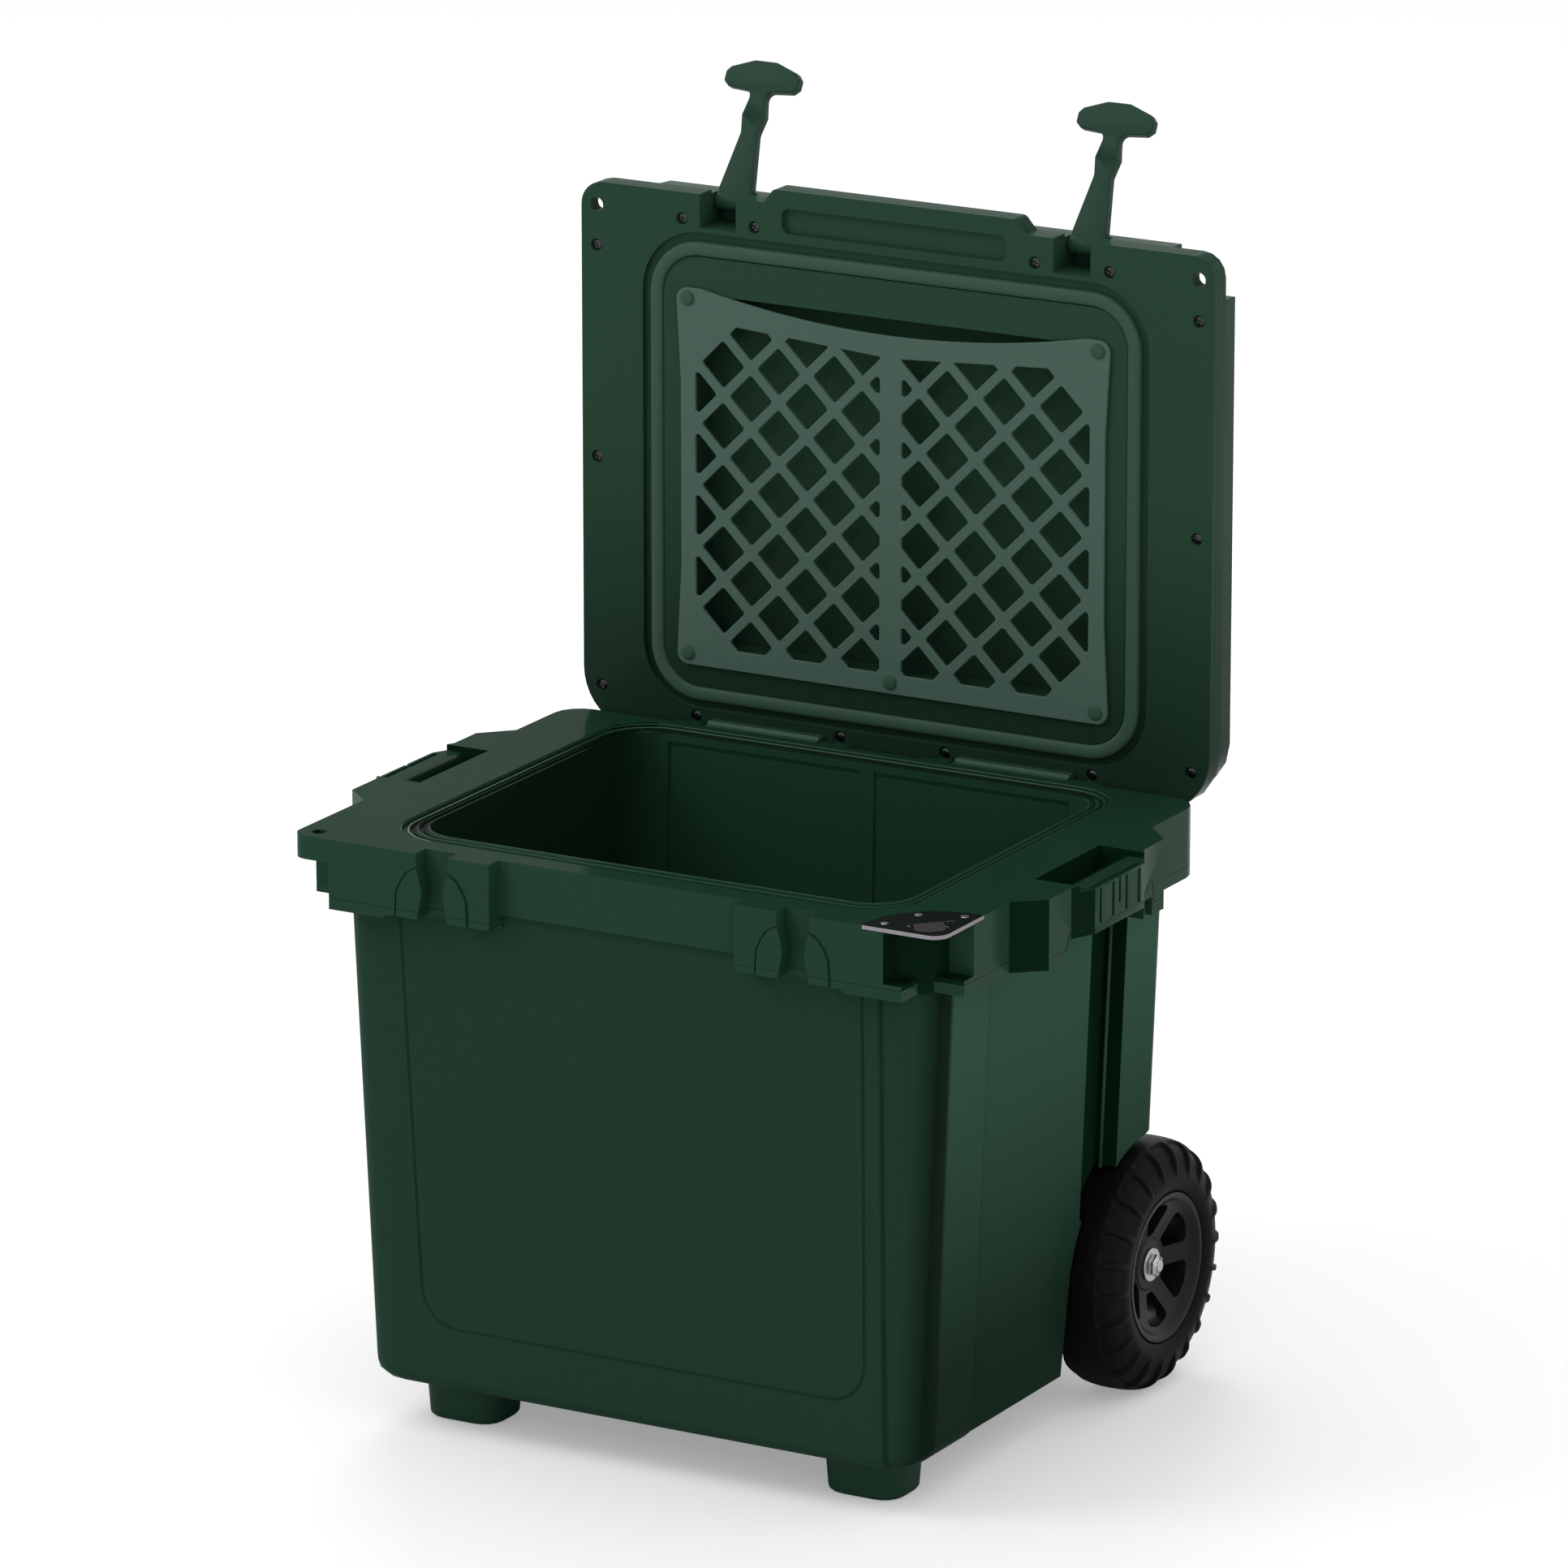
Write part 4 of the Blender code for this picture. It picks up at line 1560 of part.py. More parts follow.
def add_pull_handle(stand):
    slide = (0, TUBE_Y, MIDDLE_LOW_Z)
    middle = pivot("middle_slide", slide, stand)
    top = pivot("grip_slide", (0, 0, 0), middle)
    for side, word in ((1, "right"), (-1, "left")):
        outer = tube_z("middle_tube_" + word, side * TUBE_X, TUBE_Y, MIDDLE_LOW_Z, MIDDLE_TOP_Z,
                       MIDDLE_R, MIDDLE_WALL)
        inner = tube_z("grip_tube_" + word, side * TUBE_X, TUBE_Y, GRIP_TUBE_LOW_Z, GRIP_TUBE_TOP_Z,
                       GRIP_TUBE_R, GRIP_TUBE_WALL)
        for made, parent in ((outer, middle), (inner, top)):
            coat(made, STEEL, STEEL_ROUGH, 1)
            hang(made, parent, slide)
    grip = make_pull_grip()
    coat(grip, RUBBER_BLACK, RUBBER_ROUGH)
    hang(grip, top, slide)
    release = make_release_button()
    coat(release, SCREW_GREY, RUBBER_ROUGH)
    hang(release, pivot("release_slide", (0, 0, 0), top), slide)


def centre_footprint(stand):
    """Bring the middle of everything, from front to back, over the origin."""
    bpy.context.view_layer.update()
    reach = [(made.matrix_world @ corner.co).y for made in bpy.data.objects if made.type == "MESH"
             for corner in made.data.vertices]
    stand.location.y = -(min(reach) + max(reach)) / 2
    bpy.context.view_layer.update()


def main():
    clear_scene()
    stand = pivot("stand", (0, 0, 0))
    add_tub(stand)
    add_drain_plug(stand)
    add_wheels(stand)
    add_lid(stand)
    add_pull_handle(stand)
    centre_footprint(stand)


main()
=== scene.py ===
# %% [markdown]
# A wheeled cooler with its lid standing open. The tub, the lid and the collar are moulded
# plastic with rounded edges, the lid's net and the latches are rubber, and the wheels are
# black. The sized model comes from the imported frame. Each cell below makes one piece or one
# finish on top of it, and says why it is made that way.

# %% Load the sized model
import bpy
import bmesh
from math import atan2, cos, degrees, pi, radians, sin
from mathutils import Matrix, Vector


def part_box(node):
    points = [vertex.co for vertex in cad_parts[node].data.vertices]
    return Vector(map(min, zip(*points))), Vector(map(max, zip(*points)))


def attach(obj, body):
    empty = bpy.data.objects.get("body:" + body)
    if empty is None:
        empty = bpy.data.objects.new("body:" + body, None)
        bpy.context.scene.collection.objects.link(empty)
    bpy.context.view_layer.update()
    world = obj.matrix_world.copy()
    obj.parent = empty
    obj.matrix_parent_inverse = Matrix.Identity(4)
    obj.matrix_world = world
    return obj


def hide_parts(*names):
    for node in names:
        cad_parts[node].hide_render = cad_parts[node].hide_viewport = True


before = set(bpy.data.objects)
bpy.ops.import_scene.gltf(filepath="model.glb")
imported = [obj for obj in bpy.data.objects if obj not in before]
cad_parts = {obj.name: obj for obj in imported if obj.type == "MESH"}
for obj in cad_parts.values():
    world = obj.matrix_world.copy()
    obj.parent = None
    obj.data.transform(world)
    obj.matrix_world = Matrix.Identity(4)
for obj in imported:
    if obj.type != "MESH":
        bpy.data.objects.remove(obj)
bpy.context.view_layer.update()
FOOT_TO_MIDDLE = 0.104      # the feet are this far in front of y = 0 of the outlines below
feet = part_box("foot_left")
SHIFT = (feet[0][1] + feet[1][1]) / 2 + FOOT_TO_MIDDLE

# %% [markdown]
# A catalogue's studio is a white room with large soft lamps. It could be built with walls and
# many lamps, but a plain world that lights evenly from all sides does the same. One big lamp at
# the upper left adds the soft shadow, and one behind adds some shine to the edges. Light Path
# makes the world plain white only where the camera, gloss or glass looks at it, so that the
# background is white without more light on the cooler.

# %% The room: world and lamps
def link(tree, source, target):
    tree.links.new(source, target)


def joined(tree, operation, one, other):
    """A Math node on two sockets."""
    step = tree.nodes.new("ShaderNodeMath")
    step.operation = operation
    link(tree, one, step.inputs[0])
    link(tree, other, step.inputs[1])
    return step.outputs[0]


def ranged(tree, value, low, high, start=0.0, end=1.0):
    """A socket's value, which runs from start to end, as one that runs from low to high."""
    level = tree.nodes.new("ShaderNodeMapRange")
    for word, number in (("From Min", start), ("From Max", end), ("To Min", low), ("To Max", high)):
        level.inputs[word].default_value = number
    link(tree, value, level.inputs["Value"])
    return level.outputs["Result"]


def in_scene(name, data):
    """A new object in the scene that shows data."""
    thing = bpy.data.objects.new(name, data)
    bpy.context.scene.collection.objects.link(thing)
    return thing


def world_light(strength):
    world = bpy.data.worlds.new("studio")
    bpy.context.scene.world = world
    world.use_nodes = True
    tree = world.node_tree
    back = tree.nodes["Background"]
    ray = tree.nodes.new("ShaderNodeLightPath").outputs
    seen = joined(tree, "MAXIMUM", ray["Is Camera Ray"], ray["Is Glossy Ray"])
    seen = joined(tree, "MAXIMUM", seen, ray["Is Transmission Ray"])
    link(tree, ranged(tree, seen, strength, 1.0), back.inputs["Strength"])
    back.inputs["Color"].default_value = (1, 1, 1, 1)


def soft_lamp(name, place, aim, power, size=1.6):
    lamp = bpy.data.lights.new(name, "AREA")
    lamp.shape = "RECTANGLE"
    lamp.size = lamp.size_y = size
    lamp.energy = power
    holder = in_scene(name, lamp)
    holder.location = place
    holder.rotation_euler = (Vector(aim) - Vector(place)).to_track_quat("-Z", "Y").to_euler()


WORLD_STRENGTH, KEY_POWER, REAR_POWER = 0.78, 34, 26
bpy.context.scene.view_settings.view_transform = "Standard"
world_light(WORLD_STRENGTH)
soft_lamp("key lamp", (-2.6, -2.2, 3.4), (0, 0, 0.3), KEY_POWER)
soft_lamp("rear lamp", (-1.6, 2.6, 2.6), (0, 0, 0.2), REAR_POWER)

# %% [markdown]
# The camera stands where the photographer stood: in front and to the right, looking a little
# down, with a long lens so that upright lines hardly lean. It could be placed by eye, but these
# numbers come from fitting the sized model's corners to the picture, so every part of it lines up.

# %% Camera
FOCAL_LENGTH, SENSOR_WIDTH = 243.985, 36        # in millimetres
LOOK_AT = Vector((0.03384, SHIFT, 0.47855))
TURN, RISE, DISTANCE = radians(29.37), radians(15.9), 7.6126


def place_camera():
    lens = bpy.data.cameras.new("camera")
    lens.lens, lens.sensor_width = FOCAL_LENGTH, SENSOR_WIDTH
    lens.clip_start, lens.clip_end = 0.1, 60
    camera = in_scene("camera", lens)
    back = Vector((sin(TURN) * cos(RISE), -cos(TURN) * cos(RISE), sin(RISE)))
    camera.location = LOOK_AT + back * DISTANCE
    camera.rotation_euler = (-back).to_track_quat("-Z", "Y").to_euler()
    bpy.context.scene.camera = camera
    return camera


camera = place_camera()
print("camera at", [round(v, 3) for v in camera.location])

# %% [markdown]
# The floor is one large sheet. A pale colour alone would look grey under these lamps, so a
# little glow that only the camera sees lifts it to the white of the backdrop, while the shadow
# still shows in its lit part.

# %% Floor
def new_look(name):
    """A new material, its node tree and its shader."""
    look = bpy.data.materials.new(name)
    look.use_nodes = True
    return look, look.node_tree, look.node_tree.nodes["Principled BSDF"]


def floor_finish(grey, glow):
    look, tree, skin = new_look("studio floor")
    skin.inputs["Base Color"].default_value = (grey, grey, grey, 1)
    skin.inputs["Roughness"].default_value = 0.9
    skin.inputs["Specular IOR Level"].default_value = 0.0
    skin.inputs["Emission Color"].default_value = (1, 1, 1, 1)
    ray = tree.nodes.new("ShaderNodeLightPath").outputs
    link(tree, ranged(tree, ray["Is Camera Ray"], 0.0, glow), skin.inputs["Emission Strength"])
    return look


def lay_floor(reach):
    mesh = bpy.data.meshes.new("floor")
    corners = [(-reach, -reach, 0), (reach, -reach, 0), (reach, reach, 0), (-reach, reach, 0)]
    mesh.from_pydata(corners, [], [(0, 1, 2, 3)])
    mesh.materials.append(floor_finish(0.86, 0.30))
    floor = in_scene("floor", mesh)
    return floor


print("floor", lay_floor(25).dimensions[:2])

# %% [markdown]
# Moulded plastic looks like plastic because of small things: a colour that varies a little
# where the pigment mixed, gloss that isn't quite even, and a fine orange-peel skin. A picture
# could carry them, but noise on Object coordinates needs none, has no seams, and stays on the
# piece when it moves. Rubber is the same finish, only rougher.

# %% Helpers for finishes
def noise_of(tree, coords, scale, detail=3.0):
    noise = tree.nodes.new("ShaderNodeTexNoise")
    noise.inputs["Scale"].default_value = scale
    noise.inputs["Detail"].default_value = detail
    link(tree, coords.outputs["Object"], noise.inputs["Vector"])
    return noise


def mixed_tone(tree, noise, low, high):
    ramp = tree.nodes.new("ShaderNodeValToRGB")
    for end, place, tone in zip(ramp.color_ramp.elements, (0.35, 0.65), (low, high)):
        end.position = place
        end.color = (*tone, 1)
    link(tree, noise.outputs["Fac"], ramp.inputs["Fac"])
    return ramp.outputs["Color"]


DRIFT_SCALE, WEAR_SCALE, WEAR = 260.0, 46.0, 0.03       # WEAR is how far the roughness drifts


def moulded(name, tone, rough, gloss, peel, spread=0.02, shade=None):
    """A moulded finish. Its tone drifts by spread, peel is the scale of the skin's noise and
    its depth in metres, and shade gives the share of the tone that is left at each place."""
    look, tree, skin = new_look(name)
    coords = tree.nodes.new("ShaderNodeTexCoord")
    drift = noise_of(tree, coords, DRIFT_SCALE)
    colour = mixed_tone(tree, drift, [c * (1 - spread) for c in tone], [c * (1 + spread) for c in tone])
    if shade:
        scale = tree.nodes.new("ShaderNodeVectorMath")
        scale.operation = "SCALE"
        link(tree, colour, scale.inputs[0])
        link(tree, shade(tree, coords), scale.inputs["Scale"])
        colour = scale.outputs[0]
    link(tree, colour, skin.inputs["Base Color"])
    worn = noise_of(tree, coords, WEAR_SCALE, 4.0)
    link(tree, ranged(tree, worn.outputs["Fac"], rough - WEAR, rough + WEAR), skin.inputs["Roughness"])
    bump = tree.nodes.new("ShaderNodeBump")
    bump.inputs["Strength"].default_value = 1.0
    bump.inputs["Distance"].default_value = peel[1]
    link(tree, noise_of(tree, coords, peel[0], 2.0).outputs["Fac"], bump.inputs["Height"])
    link(tree, bump.outputs["Normal"], skin.inputs["Normal"])
    skin.inputs["Specular IOR Level"].default_value = gloss
    return look


GRAIN_STRETCH = 0.06        # the grain is this much coarser along z


def brushed(name, tone, rough, grain_scale):
    """A steel finish with fine grain drawn out along z."""
    look, tree, skin = new_look(name)
    skin.inputs["Metallic"].default_value = 1.0
    coords = tree.nodes.new("ShaderNodeTexCoord")
    stretch = tree.nodes.new("ShaderNodeMapping")
    stretch.inputs["Scale"].default_value = (grain_scale, grain_scale, grain_scale * GRAIN_STRETCH)
    link(tree, coords.outputs["Object"], stretch.inputs["Vector"])
    grain = tree.nodes.new("ShaderNodeTexNoise")
    grain.inputs["Scale"].default_value = 1.0
    link(tree, stretch.outputs["Vector"], grain.inputs["Vector"])
    link(tree, mixed_tone(tree, grain, [c * 0.85 for c in tone], tone), skin.inputs["Base Color"])
    link(tree, ranged(tree, grain.outputs["Fac"], rough * 0.8, rough * 1.25), skin.inputs["Roughness"])
    return look


# %% [markdown]
# Parts of the real cooler stand in shade, or mirror a dark part of the studio. Lamps can't be
# fitted to each of them, so a finish may carry a shade: the share of its tone that is left. It
# depends on the place on the piece alone, so it is the same in every view.

# %% Shades
def span(tree, coords, axis, start, end, low, high):
    """A value that goes from low at start to high at end along an axis of the piece."""
    parts = tree.nodes.new("ShaderNodeSeparateXYZ")
    link(tree, coords.outputs["Object"], parts.inputs[0])
    return ranged(tree, parts.outputs[axis], low, high, start, end)


def dark_left(tree, coords):
    """Full tone on the right, less in the shade of the left wall."""
    return span(tree, coords, "X", -0.193, -0.165, 0.45, 1.0)


def painted_shade_low(tree, coords):
    """Painted shade: full tone at the lid's top, half of it where the lid nears the deck."""
    return span(tree, coords, "Z", 0.46, 0.66, 0.5, 1.0)


def painted_reflection_and_light(tree, coords):
    """A painted dark reflection down the front right corner, and a right side painted lighter towards its top
    by reflection and light.
    """
    left = span(tree, coords, "X", 0.204, 0.210, 1.0, 0.0)
    right = span(tree, coords, "X", 0.204, 0.210, 0.0, 1.0)
    corner = span(tree, coords, "Y", SHIFT - 0.1600, SHIFT - 0.1420, 1.0, 0.32)
    past_corner = span(tree, coords, "Y", SHIFT - 0.1300, SHIFT - 0.1230, 0.0, 1.0)
    height = span(tree, coords, "Z", 0.10, 0.36, 0.60, 2.15)
    side = joined(tree, "MAXIMUM", corner, joined(tree, "MULTIPLY", past_corner, height))
    return joined(tree, "MAXIMUM", left, joined(tree, "MULTIPLY", right, side))


def painted_shade_left_and_rear(tree, coords):
    """Painted shade: full tone at the front and right of the mouth, a fifth of it at the left and rear."""
    right = span(tree, coords, "X", -0.192, -0.180, 0.0, 1.0)
    front = span(tree, coords, "Y", SHIFT - 0.128, SHIFT - 0.136, 0.0, 1.0)
    not_rear = span(tree, coords, "Y", SHIFT + 0.183, SHIFT + 0.176, 0.0, 1.0)
    lit = joined(tree, "MINIMUM", joined(tree, "MAXIMUM", right, front), not_rear)
    return ranged(tree, lit, 0.2, 1.0)


# %% [markdown]
# The finishes themselves. All greens are one pigment, painted in lit and shaded copies: lighter on a
# matt or a rounded piece, darker in a recess as painted shade, so each kind of piece has a tone of its own.

# %% The cooler's finishes
SMOOTH, RUBBERY = (900, 0.00001), (1500, 0.00002)       # scale of the skin's noise, and its depth
# Painted light: the lid's green is a lighter lit copy, and the deck's a darker copy against the light from
# above.
DARKENED_DECK_GREEN = (0.0115, 0.0420, 0.0222)
LIT_LID_GREEN = (0.0240, 0.0640, 0.0385)
# The edge green is a lighter copy of the pigment, a painted highlight for ribs, bars and beads.
HIGHLIGHT_GREEN = (0.0270, 0.0760, 0.0450)
green_plastic = moulded("green moulded plastic", (0.0165, 0.0545, 0.0300), 0.18, 0.050, SMOOTH)
# The shell's finish carries painted reflection and light by place.
shell_plastic = moulded("green shell plastic", (0.0180, 0.0490, 0.0298), 0.20, 0.005, SMOOTH, shade=painted_reflection_and_light)
# The next finish is a darker copy of the green: painted shade on channel floors, recesses and faces with a
# dark reflection.
painted_shade_plastic = moulded("green plastic painted dark as shade", (0.0040, 0.0185, 0.0095), 0.24, 0.008, SMOOTH)
lid_plastic = moulded("green lid plastic", LIT_LID_GREEN, 0.18, 0.030, SMOOTH, shade=painted_shade_low)
lid_rim = moulded("green lid rim plastic", LIT_LID_GREEN, 0.18, 0.006, SMOOTH)
green_deck = moulded("green deck plastic", DARKENED_DECK_GREEN, 0.14, 0.0055, SMOOTH)
green_ledge = moulded("green ledge plastic", DARKENED_DECK_GREEN, 0.14, 0.0040, SMOOTH, shade=painted_shade_left_and_rear)
green_inside = moulded("green liner plastic", (0.0160, 0.0540, 0.0290), 0.24, 0.008, (700, 0.00001),
                       shade=dark_left)
highlight_plastic = moulded("green plastic painted lighter as highlight", HIGHLIGHT_GREEN, 0.20, 0.22, SMOOTH)
ledge_highlight = moulded("green ledge highlight plastic", HIGHLIGHT_GREEN, 0.20, 0.02, SMOOTH, shade=painted_shade_left_and_rear)
green_rubber = moulded("green rubber", (0.0172, 0.0520, 0.0320), 0.48, 0.12, RUBBERY)
net_rubber = moulded("net rubber", (0.0755, 0.1350, 0.1045), 0.55, 0.12, RUBBERY)
gasket_rubber = moulded("gasket rubber", (0.0420, 0.0900, 0.0620), 0.5, 0.12, RUBBERY)
button_rubber = moulded("net button rubber", (0.0360, 0.0840, 0.0560), 0.5, 0.12, RUBBERY)
foot_rubber = moulded("foot rubber", (0.0135, 0.0480, 0.0280), 0.5, 0.1, (1200, 0.00003))
tyre_rubber = moulded("tyre rubber", (0.0042, 0.0042, 0.0046), 0.5, 0.07, (1100, 0.00004), 0.10)
black_plastic = moulded("black hub plastic", (0.0080, 0.0095, 0.0090), 0.34, 0.16, (900, 0.00002), 0.06)
plate_black = moulded("black plate coat", (0.0060, 0.0060, 0.0066), 0.28, 0.10, (1400, 0.00001), 0.06)
foam_cream = moulded("cream foam", (0.72, 0.66, 0.50), 0.9, 0.1, (700, 0.0003), 0.08)
button_grey = moulded("grey button plastic", (0.09, 0.09, 0.09), 0.45, 0.3, (900, 0.00004), 0.1)
tongue_steel_in_painted_shade = moulded("steel tongue in painted shade", (0.048, 0.038, 0.041), 0.4, 0.2, (1400, 0.00001), 0.06)
bare_steel = brushed("bare steel", (0.62, 0.62, 0.60), 0.26, 1400)
edge_steel = brushed("plate edge steel", (0.36, 0.34, 0.37), 0.35, 1400)
dark_steel = brushed("dark screw steel", (0.16, 0.17, 0.16), 0.34, 1400)
screw_steel = brushed("lid screw steel", (0.075, 0.070, 0.078), 0.22, 1400)
tube_metal = brushed("tube aluminium", (0.66, 0.67, 0.68), 0.30, 900)
print("finishes", len(bpy.data.materials))

# %% [markdown]
# Every node of the sized model gets its own finish first. A node whose shape is right stays as
# it is, and where one is only a plain stand-in, a finer piece takes its place further down.

# %% Finishes on the model's own nodes
FINISH_OF = {
    green_plastic: ["outer_shell", "top_collar", "collar_trim"],
    lid_plastic: ["lid_outer_shell", "lid_inner_panel"],
    green_inside: ["inner_liner"],
    green_rubber: ["latch_left", "latch_right", "lid_gasket"],
    net_rubber: ["lid_grille"] + ["grille_button_%d" % k for k in range(1, 6)],
    foot_rubber: ["foot_left", "foot_right"],
    tyre_rubber: ["tyre_left", "tyre_right"],
    black_plastic: ["hub_left", "hub_right", "handle_housing", "pull_grip", "drain_fitting", "drain_plug"],
    plate_black: ["corner_plate"],
    foam_cream: ["body_foam", "lid_foam"],
    button_grey: ["release_button"],
    dark_steel: ["lid_screw_%02d" % k for k in range(1, 15)],
    bare_steel: ["plate_screw_%d" % k for k in range(1, 4)]
    + [stem + side for stem in ("hinge_rod", "latch_pin", "axle", "axle_washer", "axle_nut")
       for side in ("_left", "_right")],
    tube_metal: [stem + side for stem in ("middle_tube", "grip_tube") for side in ("_left", "_right")],
}


def coat(piece, finish):
    piece.data.materials.clear()
    piece.data.materials.append(finish)


for finish, names in FINISH_OF.items():
    for name in names:
        coat(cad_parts[name], finish)
print("nodes coated", sum(len(names) for names in FINISH_OF.values()), "of", len(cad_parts))
# %% [markdown]
# Sharp edges give a computer model away. A moulded edge has a radius of a millimetre or two,
# and light runs along it as a bright line. The edges could be rounded by hand, but a Bevel
# modifier with an angle limit finds them itself, and Weighted Normal then keeps the large faces
# looking flat. Every modifier is applied at once, so that each piece ends as a plain mesh.

# %% Helpers that round edges and apply modifiers
def final_mesh(piece):
    """The mesh that a piece's modifiers, or a curve, come to."""
    bpy.context.view_layer.update()
    return bpy.data.meshes.new_from_object(piece.evaluated_get(bpy.context.evaluated_depsgraph_get()))


def baked(piece):
    """Apply a piece's modifiers to its mesh."""
    result = final_mesh(piece)
    piece.modifiers.clear()
    piece.data = result
    return piece


def crisp(piece, angle):
    """Smooth shading, with a sharp line where faces meet at more than angle degrees."""
    piece.data.shade_smooth()
    piece.data.set_sharp_from_angle(angle=radians(angle))


def even_shading(piece, keep_sharp):
    even = piece.modifiers.new("even", "WEIGHTED_NORMAL")
    even.keep_sharp = keep_sharp
    return baked(piece)


def new_piece(name, points, faces):
    mesh = bpy.data.meshes.new(name)
    mesh.from_pydata([tuple(p) for p in points], [], faces)
    shape = bmesh.new()
    shape.from_mesh(mesh)
    bmesh.ops.recalc_face_normals(shape, faces=shape.faces)
    shape.to_mesh(mesh)
    shape.free()
    piece = in_scene(name, mesh)
    return piece


def clean_copy(name, node):
    """A node's mesh with its doubles merged and its flat faces whole again."""
    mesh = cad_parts[node].data.copy()
    shape = bmesh.new()
    shape.from_mesh(mesh)
    bmesh.ops.remove_doubles(shape, verts=shape.verts, dist=0.00002)
    bmesh.ops.dissolve_limit(shape, angle_limit=radians(0.6), verts=shape.verts, edges=shape.edges)
    shape.to_mesh(mesh)
    shape.free()
    piece = in_scene(name, mesh)
    return piece


def carve(piece, cutters, operation="DIFFERENCE"):
    for cutter in cutters:
        step = piece.modifiers.new("carve", "BOOLEAN")
        step.operation = operation
        step.object = cutter
    baked(piece)
    for cutter in cutters:
        bpy.data.objects.remove(cutter)
    return piece


def round_edges(piece, width, steps=3, angle=32):
    soft = piece.modifiers.new("round", "BEVEL")
    soft.width = width
    soft.segments = steps
    soft.limit_method = "ANGLE"
    soft.angle_limit = radians(angle)
    soft.use_clamp_overlap = True
    baked(piece)
    piece.data.shade_smooth()
    return even_shading(piece, False)


def stand_for(piece, body, slot, *nodes):
    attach(piece, body)
    if nodes:
        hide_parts(*nodes)
    print(piece.name, len(piece.data.polygons), "faces")
    return piece


def finer(name, node, body, slot, finish, width, steps=3, cutters=(), added=()):
    """A clean copy of a node, carved and added to, with rounded edges, that takes its place."""
    piece = clean_copy(name, node)
    if added:
        carve(piece, added, "UNION")
    if cutters:
        carve(piece, cutters)
    round_edges(piece, width, steps)
    coat(piece, finish)
    return stand_for(piece, body, slot, node)


def coat_where(piece, finish, chosen):
    """Give a finish of their own to the faces for which chosen(middle, normal) is true."""
    piece.data.materials.append(finish)
    for face in piece.data.polygons:
        if chosen(face.center, face.normal):
            face.material_index = len(piece.data.materials) - 1


def looks_up(middle, normal):
    return normal.z > 0.6


def looks_forward_right(middle, normal):
    """Upright faces between the front and the right side, painted darker as the dark reflection they show."""
    return abs(normal.z) < 0.5 and 20 < degrees(atan2(normal.x, -normal.y)) < 72


# %% [markdown]
# Most pieces are an outline with some depth. They could be modelled by hand, but lists of
# (x, y, radius) keep every size in sight. They are drawn with the lid shut, as the sized model
# draws them, and each corner becomes an arc. Three matrices then bring a shape to its place: one
# for the tub, one for the open lid and one for the latches, which hang over backwards.

# %% Helpers for outlines and solids
HINGE_Y, HINGE_Z = 0.2138, 0.4395
PIN_Y, PIN_Z = -0.1835, 0.4725      # the latches turn about their pins
LATCH_X = 0.1467
LID_LOW = 0.4473                    # underside of the shut lid


def about_x(y, z, degrees):
    turn = Matrix.Rotation(radians(degrees), 4, "X")
    return Matrix.Translation((0, y, z)) @ turn @ Matrix.Translation((0, -y, -z))


def along_x(place, x, y, z, side=1):
    """A place whose local z runs along x, for shapes that are turned about it."""
    return place @ Matrix.Translation((x, y, z)) @ Matrix.Rotation(radians(90 * side), 4, "Y")


SHUT = Matrix.Translation((0, SHIFT, 0))
OPEN = SHUT @ about_x(HINGE_Y, HINGE_Z, -90)
HANGING = OPEN @ about_x(PIN_Y, PIN_Z, -118)


def rounded(corners, steps=10):
    points = []
    for i, (x, y, r) in enumerate(corners):
        here = Vector((x, y))
        if r <= 0:
            points.append(here)
            continue
        before = (Vector(corners[i - 1][:2]) - here).normalized()
        after = (Vector(corners[(i + 1) % len(corners)][:2]) - here).normalized()
        half = before.angle(after) / 2
        reach = r / abs(sin(half)) * cos(half)
        centre = here + (before + after).normalized() * (r / sin(half))
        first = here + before * reach - centre
        last = here + after * reach - centre
        start = atan2(first.y, first.x)
        turn = (atan2(last.y, last.x) - start + pi) % (2 * pi) - pi
        for k in range(steps + 1):
            angle = start + turn * k / steps
            points.append(centre + Vector((cos(angle), sin(angle))) * r)
    return points


def both_sides(right, steps=10):
    """An outline from its right half, which runs from the front to the rear."""
    return rounded(right + [(-x, y, r) for x, y, r in reversed(right)], steps)


def ring_box(x, y0, y1, r, steps=12):
    return rounded([(-x, y0, r), (x, y0, r), (x, y1, r), (-x, y1, r)], steps)


def disc(x, y, r, steps=28):
    return [Vector((x + r * cos(2 * pi * k / steps), y + r * sin(2 * pi * k / steps))) for k in range(steps)]


def solid(name, loops, place, closed=False):
    """A solid through loops of equally many points; closed joins the last loop to the first."""
    count = len(loops[0])
    points = [place @ Vector(p) for loop in loops for p in loop]
    last = len(loops) if closed else len(loops) - 1
    faces = []
    for k in range(last):
        low, high = k * count, (k + 1) % len(loops) * count
        for i in range(count):
            j = (i + 1) % count
            faces.append([low + i, low + j, high + j, high + i])
    if not closed:
        faces.append(list(range(count))[::-1])
        faces.append([(len(loops) - 1) * count + i for i in range(count)])
    return new_piece(name, points, faces)


def quad(x0, x1, y0, y1):
    return [Vector((x0, y0)), Vector((x1, y0)), Vector((x1, y1)), Vector((x0, y1))]


def slab(name, outline, z0, z1, place):
    return solid(name, [[(p.x, p.y, z) for p in outline] for z in (z0, z1)], place)


def ring_slab(name, outer, inner, z0, z1, place):
    """A flat ring between two outlines with equally many points."""
    edges = ((outer, z0), (outer, z1), (inner, z1), (inner, z0))
    loops = [[(p.x, p.y, z) for p in edge] for edge, z in edges]
    return solid(name, loops, place, closed=True)


